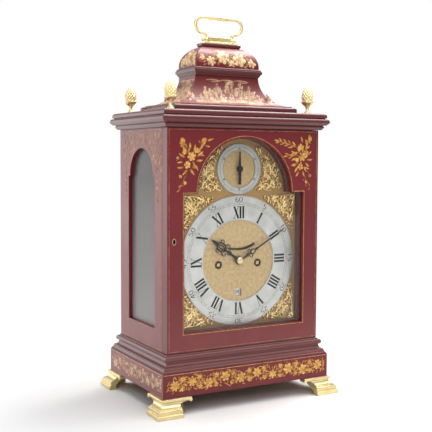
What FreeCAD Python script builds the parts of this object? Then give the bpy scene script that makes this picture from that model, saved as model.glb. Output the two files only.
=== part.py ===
import FreeCAD, Part
import math
import os
import re
import Sketcher

# A table clock with a bell-shaped top, in a red lacquered wooden case with a glazed arched door in front,
# a glazed door behind, a window in each side, brass feet, finials and a carrying handle, and a spring-driven
# movement with two fusees, a short pendulum and a bell. Millimetres and degrees. X runs to the right of
# someone facing the dial, Y to the back, Z up, and the origin is on the table under the middle of the case.

doc = FreeCAD.newDocument("table_clock")
sheet = doc.addObject("Spreadsheet::Sheet", "Sizes")

# The driving dimensions.
SIZES = {
    # the case
    "case_width": 222.0,
    "case_depth": 145.7,
    "case_height": 278.2,
    "wall": 10.0,
    "joint_gap": 0.4,
    "overrun": 5.0,
    "running_gap": 0.05,
    "moving_gap": 0.4,
    # the base
    "foot_height": 22.4,
    "foot_reach": 22.2,
    "foot_neck_reach": 10.0,
    "foot_arm": 51.0,
    "foot_waist": 33.2,
    "foot_step_arm": 34.4,
    "foot_step_reach": 17.4,
    "foot_toe": 35.0,
    "foot_thick": 9.0,
    "plinth_height": 30.6,
    "plinth_reach": 10.9,
    "base_mould_height": 20.4,
    "bottom_board_thick": 9.0,
    # the top
    "cornice_height": 21.4,
    "cornice_reach": 10.8,
    "cornice_rail": 22.0,
    "top_board_thick": 12.0,
    "caddy_height": 8.4,
    "caddy_width": 182.0,
    "caddy_depth": 103.0,
    "caddy_round": 3.6,
    "flare_height": 39.6,
    "flare_foot_width": 172.0,
    "flare_foot_depth": 93.0,
    "flare_neck_width": 94.6,
    "flare_neck_depth": 46.4,
    "flare_lip": 1.2,
    "waist_height": 10.5,
    "waist_reach": 3.4,
    "dome_width": 94.0,
    "dome_depth": 50.0,
    "dome_height": 28.0,
    "dome_draw": 19.0,
    "dome_centre_rise": 2.2,
    "cap_width": 58.6,
    "cap_depth": 15.0,
    "cap_height": 4.5,
    "finial_height": 36.0,
    "finial_radius": 7.6,
    "finial_inset_x": 10.0,
    "finial_inset_y": 11.8,
    "spigot_radius": 1.8,
    "spigot_length": 8.0,
    # the carrying handle
    "handle_plate_length": 50.0,
    "handle_plate_depth": 13.0,
    "handle_plate_thick": 2.2,
    "handle_bar_depth": 8.0,
    "handle_bar_height": 7.4,
    "bail_pivot_span": 39.0,
    "bail_pivot_rise": 6.0,
    "bail_eye_radius": 3.2,
    "bail_eye_length": 4.4,
    "bail_pin_radius": 1.2,
    "bail_wire": 2.0,
    "bail_neck": 3.6,
    "bail_neck_bend": 5.0,
    "bail_shoulder": 0.5,
    "bail_corner_bend": 10.0,
    "bail_grip_radius": 3.1,
    # the front door
    "door_thick": 14.6,
    "door_gap": 0.5,
    "sight_width": 176.0,
    "sight_bottom_rail": 24.0,
    "sight_square": 172.6,
    "sight_arch_radius": 69.3,
    "glass_setback": 4.0,
    "glass_thick": 2.0,
    "glass_rebate": 4.5,
    "key_inset": 9.1,
    "key_height": 211.9,
    "keyhole_radius": 1.6,
    "lock_width": 17.0,
    "lock_height": 30.0,
    "lock_thick": 7.0,
    "lock_edge": 4.0,
    "bolt_height": 8.0,
    "bolt_thick": 3.0,
    "bolt_length": 12.0,
    "bolt_throw": 3.0,
    # hinges
    "hinge_height": 30.0,
    "hinge_leaf": 8.5,
    "hinge_leaf_thick": 1.2,
    "hinge_knuckle": 2.2,
    "hinge_pin": 1.0,
    "hinge_end_inset": 34.0,
    # the side windows
    "window_offset": 4.3,
    "window_width": 81.0,
    "window_sill": 27.0,
    "window_square": 190.0,
    "window_arch_radius": 36.0,
    "window_rebate": 4.0,
    "window_setback": 5.0,
    # the back
    "back_thick": 10.0,
    "back_rail": 12.0,
    "back_stile": 18.0,
    "back_arch_radius": 70.0,
    "back_sill_rail": 20.0,
    "back_square": 150.0,
    "catch_length": 12.0,
    "catch_width": 7.0,
    "catch_thick": 2.5,
    "catch_screw": 1.5,
    "catch_knob": 4.0,
    # the dial
    "dial_depth": 17.5,
    "dial_centre": 182.1,
    "dial_thick": 2.2,
    "dial_margin": 1.2,
    "mask_lap": 0.2,
    "mask_thick": 3.2,
    "ring_radius": 84.2,
    "ring_inner": 52.4,
    "ring_thick": 1.6,
    "sub_centre_rise": 30.2,
    "sub_radius": 32.4,
    "sub_inner": 23.8,
    "spandrel_thick": 1.8,
    "spandrel_margin": 2.0,
    "arch_mount_outer_angle": 60.0,
    "arch_mount_inner_angle": 40.0,
    "winding_hole": 4.4,
    "winding_span": 58.6,
    "winding_drop": 4.6,
    "date_drop": 41.5,
    "date_window": 10.0,
    "date_ring_radius": 47.5,
    "date_ring_inner": 35.6,
    "date_ring_thick": 1.0,
    "slot_radius": 49.5,
    "slot_half_angle": 30.0,
    "slot_width": 3.6,
    "dial_foot_radius": 2.5,
    "dial_foot_inset": 26.0,
    # the hands
    "hour_length": 50.0,
    "hour_angle": 305.0,
    "minute_length": 77.0,
    "minute_angle": 60.0,
    "hand_thick": 1.0,
    "hand_gap": 1.0,
    "hour_boss": 6.0,
    "minute_boss": 5.0,
    "collet_radius": 5.2,
    "collet_height": 2.6,
    "sub_hand_length": 22.5,
    "sub_hand_tail": 20.0,
    "sub_boss": 4.4,
    # the movement
    "dial_stand": 12.0,
    "plate_width": 124.0,
    "plate_height": 156.0,
    "plate_thick": 2.5,
    "plate_span": 50.0,
    "pillar_radius": 4.5,
    "pillar_inset": 8.0,
    "seat_thick": 12.0,
    "seat_top": 99.0,
    "seat_margin": 4.0,
    "pivot_radius": 1.2,
    "arbor_radius": 1.6,
    "square_width": 4.2,
    "fusee_arbor": 2.6,
    "fusee_large": 19.0,
    "fusee_small": 9.5,
    "fusee_turns": 10.0,
    "fusee_length": 36.0,
    "barrel_radius": 21.0,
    "barrel_length": 37.0,
    "barrel_out": 36.0,
    "barrel_drop": 54.0,
    "line_radius": 0.7,
    "wheel_thick": 2.0,
    "end_shake": 0.3,
    "escape_rise": 40.0,
    "escape_radius": 14.0,
    "pallet_rise": 64.0,
    "pallet_gap": 1.7,
    "crutch_length": 46.0,
    "motion_distance": 18.0,
    "cannon_radius": 2.6,
    "hour_pipe_radius": 3.6,
    "bob_radius": 21.0,
    "bob_thick": 9.0,
    "bob_drop": 124.0,
    "pendulum_rod": 1.2,
    "cock_span": 34.0,
    "cock_stand": 4.6,
    "cock_thick": 2.6,
    "cock_height": 10.0,
    "pendulum_stand": 4.0,
    "bell_radius": 34.0,
    "bell_height": 25.0,
    "bell_wall": 2.0,
    "bell_stand": 15.0,
    "bell_bar": 8.0,
    "bell_bar_thick": 4.0,
    "bell_post": 2.2,
    "hammer_out": 44.0,
    "hammer_rise": 58.0,
    "hammer_gap": 1.6,
    "hammer_head": 4.0,
}

# Places and sizes worked out from the driving dimensions.
PLACES = {
    "half_width": "case_width / 2",
    "half_depth": "case_depth / 2",
    "front": "-half_depth",
    "inside": "half_width - wall",
    "plinth_top": "foot_height + plinth_height",
    "case_bottom": "plinth_top + base_mould_height",
    "case_top": "case_bottom + case_height",
    "cornice_top": "case_top + cornice_height",
    "caddy_top": "cornice_top + caddy_height",
    "flare_top": "caddy_top + flare_height",
    "waist_top": "flare_top + waist_height",
    "dome_top": "waist_top + dome_height",
    "cap_top": "dome_top + cap_height",
    "plinth_half_x": "half_width + plinth_reach",
    "plinth_half_y": "half_depth + plinth_reach",
    "cornice_hole_x": "half_width + cornice_reach - cornice_rail - wall / 2",
    "cornice_hole_y": "half_depth + cornice_reach - cornice_rail - wall / 2",
    "finial_x": "half_width - finial_inset_x",
    "finial_y": "half_depth - finial_inset_y",
    "handle_plate_top": "cap_top + handle_plate_thick",
    "bail_axis": "cap_top + bail_pivot_rise",
    "bail_half": "bail_pivot_span / 2",
    "bail_neck_top": "bail_axis + bail_neck",
    "bail_low": "bail_neck_top + bail_neck_bend",
    "bail_bend_start": "bail_half + bail_neck_bend",
    "bail_corner": "bail_bend_start + bail_shoulder",
    "bail_high": "bail_low + 2 * bail_corner_bend",
    "door_back": "front + door_thick",
    "carcass_front": "door_back + joint_gap",
    "door_bottom": "case_bottom + door_gap",
    "door_top": "case_top - door_gap",
    "sight_half": "sight_width / 2",
    "sight_bottom": "case_bottom + sight_bottom_rail",
    "sight_shoulder": "sight_bottom + sight_square",
    "glass_front": "front + glass_setback",
    "glass_back": "glass_front + glass_thick",
    "key_x": "-half_width + key_inset",
    "lock_left": "-half_width + lock_edge + moving_gap",
    "lock_back": "door_back + lock_thick",
    "bolt_front": "door_back + (lock_thick - bolt_thick) / 2",
    "window_low": "case_bottom + window_sill",
    "window_shoulder": "window_low + window_square",
    "back_front": "half_depth - back_thick",
    "back_door_half": "inside - joint_gap",
    "catch_sweep": "sqrt(catch_length ^ 2 + (catch_width / 2) ^ 2)",
    "back_door_bottom": "case_bottom + back_rail + door_gap",
    "back_door_top": "case_top - back_rail - door_gap",
    "back_sight_half": "back_door_half - back_stile",
    "back_sight_bottom": "back_door_bottom + back_sill_rail",
    "back_sight_shoulder": "back_sight_bottom + back_square",
    "back_glass_front": "back_front + glass_thick",
    "dial_face": "front + dial_depth",
    "dial_front": "dial_face + ring_thick",
    "dial_back": "dial_front + dial_thick",
    "sub_centre": "sight_shoulder + sub_centre_rise",
    "winding_half": "winding_span / 2",
    "winding_z": "dial_centre - winding_drop",
    "date_z": "dial_centre - date_drop",
    "pallet_z": "dial_centre + pallet_rise",
    "escape_z": "dial_centre + escape_rise",
    "hour_back": "dial_face - hand_gap",
    "hour_front": "hour_back - hand_thick",
    "minute_back": "hour_front - hand_gap",
    "minute_front": "minute_back - hand_thick",
    "plate_front": "dial_back + dial_stand",
    "plate_inner": "plate_front + plate_thick",
    "plate_far": "plate_inner + plate_span",
    "plate_back": "plate_far + plate_thick",
    "plate_top": "seat_top + plate_height",
    "pillar_x": "plate_width / 2 - pillar_inset",
    "pillar_low": "seat_top + pillar_inset",
    "pillar_high": "plate_top - pillar_inset",
    "great_front": "plate_inner + pivot_radius * 3",
    "great_back": "great_front + wheel_thick",
    "fusee_start": "great_back + moving_gap * 2",
    "fusee_end": "fusee_start + fusee_length",
    "barrel_start": "fusee_start - (barrel_length - fusee_length) / 2",
    "barrel_z": "dial_centre - barrel_drop",
    "centre_wheel_back": "plate_far - moving_gap * 4",
    "centre_wheel_front": "centre_wheel_back - wheel_thick",
    "third_wheel_back": "centre_wheel_front - moving_gap * 9",
    "third_wheel_front": "third_wheel_back - wheel_thick",
    "escape_back": "third_wheel_front - wheel_thick * 3",
    "escape_front": "escape_back - wheel_thick",
    "motion_back": "plate_front - moving_gap * 4",
    "motion_front": "motion_back - wheel_thick",
    "hour_wheel_back": "motion_front - moving_gap",
    "hour_wheel_front": "hour_wheel_back - wheel_thick",
    "minute_wheel_z": "dial_centre - motion_distance",
    "cock_front": "plate_back + cock_stand",
    "cock_back": "cock_front + cock_thick",
    "pendulum_y": "cock_back + pendulum_stand",
    "bell_bar_top": "plate_top + bell_bar_thick",
    "bell_y": "(plate_front + plate_back) / 2",
    "bell_rim": "bell_bar_top + bell_stand",
    "bell_crown": "bell_rim + bell_height",
    "hammer_z": "dial_centre + hammer_rise",
    "hammer_head_z": "bell_rim + hammer_head",
}

for row, (name, value) in enumerate(SIZES.items(), 1):
    sheet.set(f"A{row}", str(value))
    sheet.setAlias(f"A{row}", name)
doc.recompute()

NAME = re.compile(r"[a-z][a-z_]*")
TURN_TO = {
    "x": FreeCAD.Rotation(FreeCAD.Vector(0, 1, 0), 90),
    "y": FreeCAD.Rotation(FreeCAD.Vector(1, 0, 0), -90),
    "z": FreeCAD.Rotation(),
}
ALONG_Y = FreeCAD.Vector(0, 1, 0)
nodes = []


def bound(text):
    """The expression in which each name is a cell of the sheet, or is worked out from such cells."""
    def swap(match):
        word = match.group()
        if word in SIZES:
            return "Sizes." + word
        if word in PLACES:
            return "(" + bound(PLACES[word]) + ")"
        return word
    return NAME.sub(swap, text)


def size(text):
    """The present value of an expression."""
    return float(sheet.evalExpression(bound(text)))


def bind(thing, **values):
    """Bind properties to expressions."""
    for name, text in values.items():
        thing.setExpression(name, bound(text))


def place(thing, x="0", y="0", z="0"):
    """Bind the place of an object to expressions."""
    for axis, text in zip("xyz", (x, y, z)):
        thing.setExpression("Placement.Base." + axis, bound(text))
    return thing


def keep(thing):
    """Mark an object as one of the clock's pieces."""
    nodes.append(thing)
    return thing


def block(label, x, y, z):
    """A box from its low and high bound along each axis."""
    box = doc.addObject("Part::Box", label)
    for name, (low, high) in zip(("Length", "Width", "Height"), (x, y, z)):
        bind(box, **{name: f"({high}) - ({low})"})
    return place(box, x[0], y[0], z[0])


def rod(label, axis, radius, at, low, high):
    """A round bar along one axis, from low to high, at its two other coordinates in X, Y, Z order."""
    bar = doc.addObject("Part::Cylinder", label)
    bind(bar, Radius=radius, Height=f"({high}) - ({low})")
    bar.Placement.Rotation = TURN_TO[axis]
    spot = list(at)
    spot.insert("xyz".index(axis), low)
    return place(bar, *spot)


def cut(label, base, *tools):
    """One object less others."""
    for count, tool in enumerate(tools, 1):
        result = doc.addObject("Part::Cut", label if count == len(tools) else label + "_cut")
        result.Base = base
        result.Tool = tool
        base = result
    return base


def fuse(label, *pieces):
    """Objects joined into one solid."""
    result = doc.addObject("Part::MultiFuse", label)
    result.Shapes = list(pieces)
    return result


def common(label, first, second):
    """What two objects share."""
    result = doc.addObject("Part::Common", label)
    result.Base = first
    result.Tool = second
    return result


def group(label, *pieces):
    """Separate solids kept as one piece of the list."""
    result = doc.addObject("Part::Compound", label)
    result.Links = list(pieces)
    return result


def mirror(label, source, normal):
    """A mirror image in the middle plane square to an axis."""
    image = doc.addObject("Part::Mirroring", label)
    image.Source = source
    image.Normal = FreeCAD.Vector(*(float(axis == normal) for axis in "xyz"))
    return image


def feature(label, shape):
    """A piece whose shape is worked out here."""
    thing = doc.addObject("Part::Feature", label)
    thing.Shape = shape
    return thing


def arc_centre(start, end, axis, known):
    """The centre of the arc between two points, from one of its coordinates."""
    near = "xy".index(axis)
    far = 1 - near
    rise = end[far] - start[far]
    middle = (start[far] + end[far]) / 2
    if rise:
        middle += ((end[near] - known) ** 2 - (start[near] - known) ** 2) / (2 * rise)
    return (known, middle) if near == 0 else (middle, known)


def outline_edge(start, end, step):
    """A straight or round edge of an outline, and the numbers of its first and last ends."""
    if len(step) == 2:
        return Part.LineSegment(FreeCAD.Vector(*start, 0), FreeCAD.Vector(*end, 0)), (1, 2)
    turn, axis, text = step[2:]
    centre = arc_centre(start, end, axis, size(text))
    first, last = (start, end) if turn == "ccw" else (end, start)
    angles = [math.atan2(spot[1] - centre[1], spot[0] - centre[0]) for spot in (first, last)]
    if angles[1] <= angles[0]:
        angles[1] += 2 * math.pi
    circle = Part.Circle(FreeCAD.Vector(*centre, 0), FreeCAD.Vector(0, 0, 1), math.dist(centre, start))
    return Part.ArcOfCircle(circle, *angles), (1, 2) if turn == "ccw" else (2, 1)


def draw(body, plane, outline):
    """A closed sketch. Each step of the outline is the end of an edge: x, y and, for an arc, its turn
    (ccw or cw), the axis of the centre's known coordinate and that coordinate."""
    sketch = body.newObject("Sketcher::SketchObject", body.Name + "_outline")
    base = next(item for item in body.Origin.OriginFeatures if item.Role == plane)
    sketch.AttachmentSupport = [(base, "")]
    sketch.MapMode = "FlatFace"
    spots = [(size(step[0]), size(step[1])) for step in outline]
    made = [outline_edge(spots[index - 1], spots[index], step) for index, step in enumerate(outline)]
    sketch.addGeometry([edge for edge, ends in made], False)
    rules = []
    texts = []
    for index, step in enumerate(outline):
        after = (index + 1) % len(outline)
        last = made[index][1][1]
        rules.append(Sketcher.Constraint("Coincident", index, last, after, made[after][1][0]))
        texts.append(None)
        for kind, text, value in zip(("DistanceX", "DistanceY"), step[:2], spots[index]):
            rules.append(Sketcher.Constraint(kind, -1, 1, index, last, value))
            texts.append(text)
        if len(step) > 2:
            rules.append(Sketcher.Constraint("Distance" + step[3].upper(), -1, 1, index, 3, size(step[4])))
            texts.append(step[4])
    sketch.addConstraint(rules)
    for index, text in enumerate(texts):
        if text is not None:
            sketch.setExpression(f"Constraints[{index}]", bound(text))
    return sketch


def prism(label, plane, outline, low, high):
    """An outline in the XY, XZ or YZ plane, carried straight along the third axis from low to high."""
    body = doc.addObject("PartDesign::Body", label)
    pad = body.newObject("PartDesign::Pad", label + "_pad")
    pad.Profile = draw(body, plane + "_Plane", outline)
    pad.Reversed = plane == "XZ"
    bind(pad, Length=f"({high}) - ({low})")
    axis = ({"x", "y", "z"} - set(plane.lower())).pop()
    return place(body, **{axis: low})


def turned(label, axis, at, start, profile):
    """A profile of radius and distance along an axis, turned on a lathe and closed along its middle."""
    body = doc.addObject("PartDesign::Body", label)
    outline = [("0", profile[0][1]), *profile, ("0", profile[-1][1])]
    sketch = draw(body, "XZ_Plane", outline)
    turning = body.newObject("PartDesign::Revolution", label + "_turning")
    turning.Profile = sketch
    turning.ReferenceAxis = (sketch, ["V_Axis"])
    turning.Angle = 360
    body.Placement.Rotation = TURN_TO[axis]
    spot = list(at)
    spot.insert("xyz".index(axis), start)
    return place(body, *spot)


def two_sided(steps, half):
    """The whole outline of a moulding from its right-hand side, given from the bottom up."""
    def across(step, sign):
        moved = [f"{sign}({half} + {step[0]})", step[1]]
        if len(step) > 2:
            centre = f"{sign}({half} + {step[4]})" if step[3] == "x" else step[4]
            moved += [step[2], step[3], centre]
        return tuple(moved)
    right = [across(step, "") for step in steps]
    left = [across(step, "-") for step in steps]
    back = [left[-1][:2]]
    for index in range(len(steps) - 2, -1, -1):
        back.append(left[index][:2] + left[index + 1][2:])
    return right + back


def mitred(label, half_x, half_y, reach, steps):
    """A block with the same moulding on its four sides, mitred at the corners. The steps go from the
    bottom up, each with its distance outside the half widths and its height."""
    fronts = prism(label + "_across", "XZ", two_sided(steps, half_x),
                   f"-({half_y} + {reach} + overrun)", f"{half_y} + {reach} + overrun")
    sides = prism(label + "_along", "YZ", two_sided(steps, half_y),
                  f"-({half_x} + {reach} + overrun)", f"{half_x} + {reach} + overrun")
    return common(label, fronts, sides)


def moulding_steps(shares, reach, low, height):
    """The steps of a moulding from shares of its reach and of its height."""
    steps = []
    for share in shares:
        step = [f"{share[0]} * {reach}", f"{low} + {share[1]} * {height}"]
        if len(share) > 2:
            step += [share[2], "y", f"{low} + {share[3]} * {height}"]
        steps.append(tuple(step))
    return steps


def arched(half, bottom, shoulder, radius, margin="0", centre="0"):
    """An opening with a flat sill, two square shoulders and a half-round arch, grown by a margin."""
    right = f"{centre} + {half} + {margin}"
    left = f"{centre} - ({half} + {margin})"
    level = f"{shoulder} + {margin}"
    low = f"{bottom} - ({margin})"
    return [(left, low), (right, low), (right, level), (f"{centre} + {radius} + {margin}", level),
            (f"{centre} - ({radius} + {margin})", level, "ccw", "y", level), (left, level)]


# The base: four cast brass bracket feet, a plinth, its moulding and the board that closes it below.
FOOT_FLARE_SHARES = {"toe_top": 0.29, "step_low": 0.42, "step_high": 0.60, "neck": 0.67, "lip": 0.82}


def foot_outline(half):
    """One side of the front left foot: the ogee face at the outer end, the scrolled end at the inner."""
    outer = f"-({half})"
    heights = {name: f"{share} * foot_height" for name, share in FOOT_FLARE_SHARES.items()}
    return [
        (f"{outer} - foot_reach", "0"),
        (f"{outer} - foot_reach + foot_toe", "0"),
        (f"{outer} - foot_reach + foot_toe", heights["toe_top"]),
        (f"{outer} - foot_reach + foot_step_arm", heights["step_low"], "cw", "y", heights["step_low"]),
        (f"{outer} - foot_reach + foot_step_arm", heights["step_high"]),
        (f"{outer} - foot_reach + foot_waist", heights["neck"]),
        (f"{outer} - foot_reach + foot_arm", heights["lip"]),
        (f"{outer} - foot_reach + foot_arm", "foot_height"),
        (f"{outer} - plinth_reach", "foot_height"),
        (f"{outer} - plinth_reach", heights["lip"]),
        (f"{outer} - foot_neck_reach", heights["neck"]),
        (f"{outer} - foot_step_reach", heights["step_high"]),
        (f"{outer} - foot_step_reach", heights["step_low"]),
        (f"{outer} - foot_reach", heights["toe_top"], "cw", "y", heights["step_low"]),
    ]


foot_front = prism("foot_front", "XZ", foot_outline("half_width"),
                   "-(half_depth + foot_reach)", "-(half_depth + foot_reach) + foot_arm")
foot_flank = prism("foot_flank", "YZ", foot_outline("half_depth"),
                   "-(half_width + foot_reach)", "-(half_width + foot_reach) + foot_arm")
foot_block = common("foot_block", foot_front, foot_flank)
foot_hollow = block("foot_hollow", ("-(half_width + foot_neck_reach) + foot_thick", "0"),
                    ("-(half_depth + foot_neck_reach) + foot_thick", "0"),
                    ("-overrun", "foot_height + overrun"))
foot_front_left = cut("foot_front_left", foot_block, foot_hollow)
foot_front_right = mirror("foot_front_right", foot_front_left, "x")
feet = [foot_front_left, foot_front_right,
        mirror("foot_back_left", foot_front_left, "y"), mirror("foot_back_right", foot_front_right, "y")]
keep(group("bracket_feet", *feet))

base_hole = block("base_hole", ("-inside", "inside"), ("-half_depth + wall", "half_depth - wall"),
                  ("0", "case_bottom + overrun"))
plinth_block = block("plinth_block", ("-plinth_half_x", "plinth_half_x"),
                     ("-plinth_half_y", "plinth_half_y"),
                     ("foot_height", "plinth_top"))
keep(cut("plinth", plinth_block, base_hole))
keep(block("bottom_board", ("-inside", "inside"), ("-half_depth + wall", "half_depth - wall"),
           ("foot_height", "foot_height + bottom_board_thick")))
BASE_MOULDING_SHARES = [(0.90, 0), (0.90, 0.08), (0.80, 0.10), (0.72, 0.22), (0.66, 0.23), (0.66, 0.30),
                        (0.22, 0.56, "cw", 0.56), (0.22, 0.60), (0.36, 0.61), (0.48, 0.75, "ccw", 0.75),
                        (0.34, 0.90, "ccw", 0.75), (0.16, 0.91), (0.16, 0.96), (0.04, 1)]
base_block = mitred("base_block", "half_width", "half_depth", "plinth_reach",
                    moulding_steps(BASE_MOULDING_SHARES, "plinth_reach", "plinth_top", "base_mould_height"))
keep(cut("base_moulding", base_block, base_hole))

# The carcass: two sides, each with an arched window, and the rails above and below the back door.
window_hole = prism("window_hole", "YZ",
                    arched("window_width / 2", "window_low", "window_shoulder", "window_arch_radius",
                           centre="window_offset"),
                    "-half_width - overrun", "half_width + overrun")
window_outline = arched("window_width / 2", "window_low", "window_shoulder", "window_arch_radius",
                        "window_rebate", "window_offset")
lock_recess = block("lock_recess", ("-half_width + lock_edge", "-inside + overrun"),
                    ("carcass_front - overrun", "lock_back + moving_gap * 2"),
                    ("key_height - lock_height / 2 - moving_gap",
                     "key_height + lock_height / 2 + moving_gap"))
bolt_mortise = block("bolt_mortise",
                     ("lock_left - bolt_throw - moving_gap", "-half_width + lock_edge + overrun"),
                     ("bolt_front - moving_gap", "bolt_front + bolt_thick + moving_gap"),
                     ("key_height - bolt_height / 2 - moving_gap",
                      "key_height + bolt_height / 2 + moving_gap"))
catch_mortise = block("catch_mortise",
                      ("inside - overrun", "back_door_half - catch_width + catch_sweep + moving_gap"),
                      ("back_front - catch_thick - moving_gap * 2", "back_front"),
                      ("key_height - catch_width / 2 - moving_gap",
                       "key_height + catch_sweep + moving_gap"))
side_glasses = []
for name, low, high, glass_low, glass_high in (
        ("left", "-half_width", "-inside", "-half_width + window_setback",
         "-half_width + window_setback + glass_thick"),
        ("right", "inside", "half_width", "half_width - window_setback - glass_thick",
         "half_width - window_setback")):
    panel = block(name + "_panel", (low, high), ("carcass_front", "half_depth"),
                  ("case_bottom", "case_top"))
    rebate_ends = (glass_low, "overrun - inside") if name == "left" else ("inside - overrun", glass_high)
    rebate = prism(name + "_rebate", "YZ", window_outline, *rebate_ends)
    holes = [window_hole, rebate] + ([lock_recess, bolt_mortise] if name == "left" else [catch_mortise])
    keep(cut(name + "_side", panel, *holes))
    side_glasses.append(prism(name + "_glass", "YZ", window_outline, glass_low, glass_high))
keep(group("side_glasses", *side_glasses))
keep(group("back_rails",
           block("back_rail_low", ("-inside", "inside"), ("back_front", "half_depth"),
                 ("case_bottom", "case_bottom + back_rail")),
           block("back_rail_high", ("-inside", "inside"), ("back_front", "half_depth"),
                 ("case_top - back_rail", "case_top"))))
keep(block("seat_board", ("-inside", "inside"), ("plate_front - seat_margin", "plate_back + seat_margin"),
           ("seat_top - seat_thick", "seat_top")))

# The top: cornice and board, then the caddy step, the hollow flare, the waist, the dome and the cap.
CORNICE_SHARES = [(0.33, 0), (0.33, 0.04), (0.50, 0.13), (0.50, 0.21), (0.42, 0.22), (0.42, 0.26),
                  (0.70, 0.27), (1, 0.42), (1, 0.50), (0.78, 0.66, "ccw", 0.50), (0.60, 0.67),
                  (0.60, 0.71), (0.76, 0.72), (0.76, 0.84), (0.40, 1, "ccw", 0.84)]
cornice_block = mitred("cornice_block", "half_width", "half_depth", "cornice_reach",
                       moulding_steps(CORNICE_SHARES, "cornice_reach", "case_top", "cornice_height"))
cornice_hole = block("cornice_hole", ("-cornice_hole_x", "cornice_hole_x"),
                     ("-cornice_hole_y", "cornice_hole_y"),
                     ("case_top - overrun", "cornice_top + overrun"))
finial_places = [(f"{side} * finial_x", f"{end} * finial_y") for end in (-1, 1) for side in (-1, 1)]
spigot_holes = [rod("spigot_hole", "z", "spigot_radius + running_gap", spot,
                    "cornice_top - spigot_length - running_gap",
                    "cornice_top + overrun") for spot in finial_places]
keep(cut("cornice", cornice_block, cornice_hole, *spigot_holes))
keep(block("top_board", ("-cornice_hole_x", "cornice_hole_x"), ("-cornice_hole_y", "cornice_hole_y"),
           ("cornice_top - top_board_thick", "cornice_top")))
keep(mitred("caddy_step", "caddy_width / 2", "caddy_depth / 2", "caddy_round", [
    ("0", "cornice_top"), ("0", "caddy_top - caddy_round"),
    ("0 - caddy_round", "caddy_top", "ccw", "y", "caddy_top - caddy_round")]))


def hollow_flare():
    """A block hollowed on its four sides by quarter ellipses that end upright at the neck."""
    foot_x, foot_y = size("flare_foot_width") / 2, size("flare_foot_depth") / 2
    neck_x, neck_y = size("flare_neck_width") / 2, size("flare_neck_depth") / 2
    low, lip = size("caddy_top"), size("flare_lip")
    rise = size("flare_height")
    over = size("overrun")
    shape = Part.makeBox(2 * foot_x, 2 * foot_y, rise, FreeCAD.Vector(-foot_x, -foot_y, low))
    for foot, neck, length, lengthways in ((foot_x, neck_x, foot_y, True), (foot_y, neck_y, foot_x, False)):
        hollow = Part.makeCylinder(1, 2 * (length + over))
        hollow.rotate(FreeCAD.Vector(), FreeCAD.Vector(0, 0, 1), 90)
        stretch = FreeCAD.Matrix()
        stretch.scale(foot - neck, rise - lip, 1)
        hollow = hollow.transformGeometry(stretch)
        for sign in (-1, 1):
            turned_hollow = hollow.copy()
            turned_hollow.rotate(FreeCAD.Vector(), FreeCAD.Vector(1, 0, 0), 90)
            turned_hollow.translate(FreeCAD.Vector(sign * foot, length + over, low + rise))
            if not lengthways:
                turned_hollow.rotate(FreeCAD.Vector(), FreeCAD.Vector(0, 0, 1), 90)
            shape = shape.cut(turned_hollow)
    return shape


keep(feature("bell_flare", hollow_flare()))
WAIST_SHARES = [(0.2, 0), (0.2, 0.10), (0.62, 0.28), (0.62, 0.36), (1, 0.38), (1, 0.70), (0.7, 0.72),
                (0.7, 0.80), (0.1, 1, "ccw", 0.80)]
keep(mitred("waist_moulding", "dome_width / 2", "dome_depth / 2", "waist_reach",
            moulding_steps(WAIST_SHARES, "waist_reach", "flare_top", "waist_height")))
keep(mitred("bell_dome", "dome_width / 2", "dome_depth / 2", "waist_reach", [
    ("0", "waist_top"), ("0 - dome_draw", "dome_top", "ccw", "y", "waist_top + dome_centre_rise")]))
CAP_SHARES = [(-0.35, 0), (0, 0.4), (0, 1)]
keep(mitred("top_cap", "cap_width / 2", "cap_depth / 2", "cap_height",
            moulding_steps(CAP_SHARES, "cap_height", "dome_top", "cap_height")))

# Four turned brass finials, each with a spigot in the cornice.
FINIAL_SHARES = [(0.62, 0), (0.62, 0.045), (0.30, 0.10), (0.24, 0.20), (0.36, 0.25), (0.98, 0.43),
                 (0.92, 0.47)]
FINIAL_TIP_SHARES = {"side": (0.94, 0.50), "tip": (0.10, 1), "side_centre": 0.54}
finial_profile = [("spigot_radius", "0 - spigot_length"), ("spigot_radius", "0")]
finial_profile += [(f"{radius} * finial_radius", f"{rise} * finial_height")
                   for radius, rise in FINIAL_SHARES]
finial_profile += [
    (f"{FINIAL_TIP_SHARES['side'][0]} * finial_radius", f"{FINIAL_TIP_SHARES['side'][1]} * finial_height"),
    (f"{FINIAL_TIP_SHARES['tip'][0]} * finial_radius", f"{FINIAL_TIP_SHARES['tip'][1]} * finial_height",
     "ccw", "y",
     f"{FINIAL_TIP_SHARES['side_centre']} * finial_height")]
finials = [turned("finial", "z", spot, "cornice_top", finial_profile) for spot in finial_places]
keep(group("corner_finials", *finials))

# The carrying handle: a moulded plate with a bar and two studs, and a bail that swings on the studs.
handle_parts = [
    block("handle_plate", ("-handle_plate_length / 2", "handle_plate_length / 2"),
          ("-handle_plate_depth / 2", "handle_plate_depth / 2"), ("cap_top", "handle_plate_top")),
    block("handle_bar", ("-(bail_half - bail_eye_length / 2 - moving_gap)",
                         "bail_half - bail_eye_length / 2 - moving_gap"),
          ("-handle_bar_depth / 2", "handle_bar_depth / 2"),
          ("handle_plate_top", "handle_plate_top + handle_bar_height")),
    rod("handle_studs", "x", "bail_pin_radius", ("0", "bail_axis"),
        "-(bail_half + bail_eye_length / 2 + moving_gap)",
        "bail_half + bail_eye_length / 2 + moving_gap")]
keep(fuse("handle_base", *handle_parts))


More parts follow.
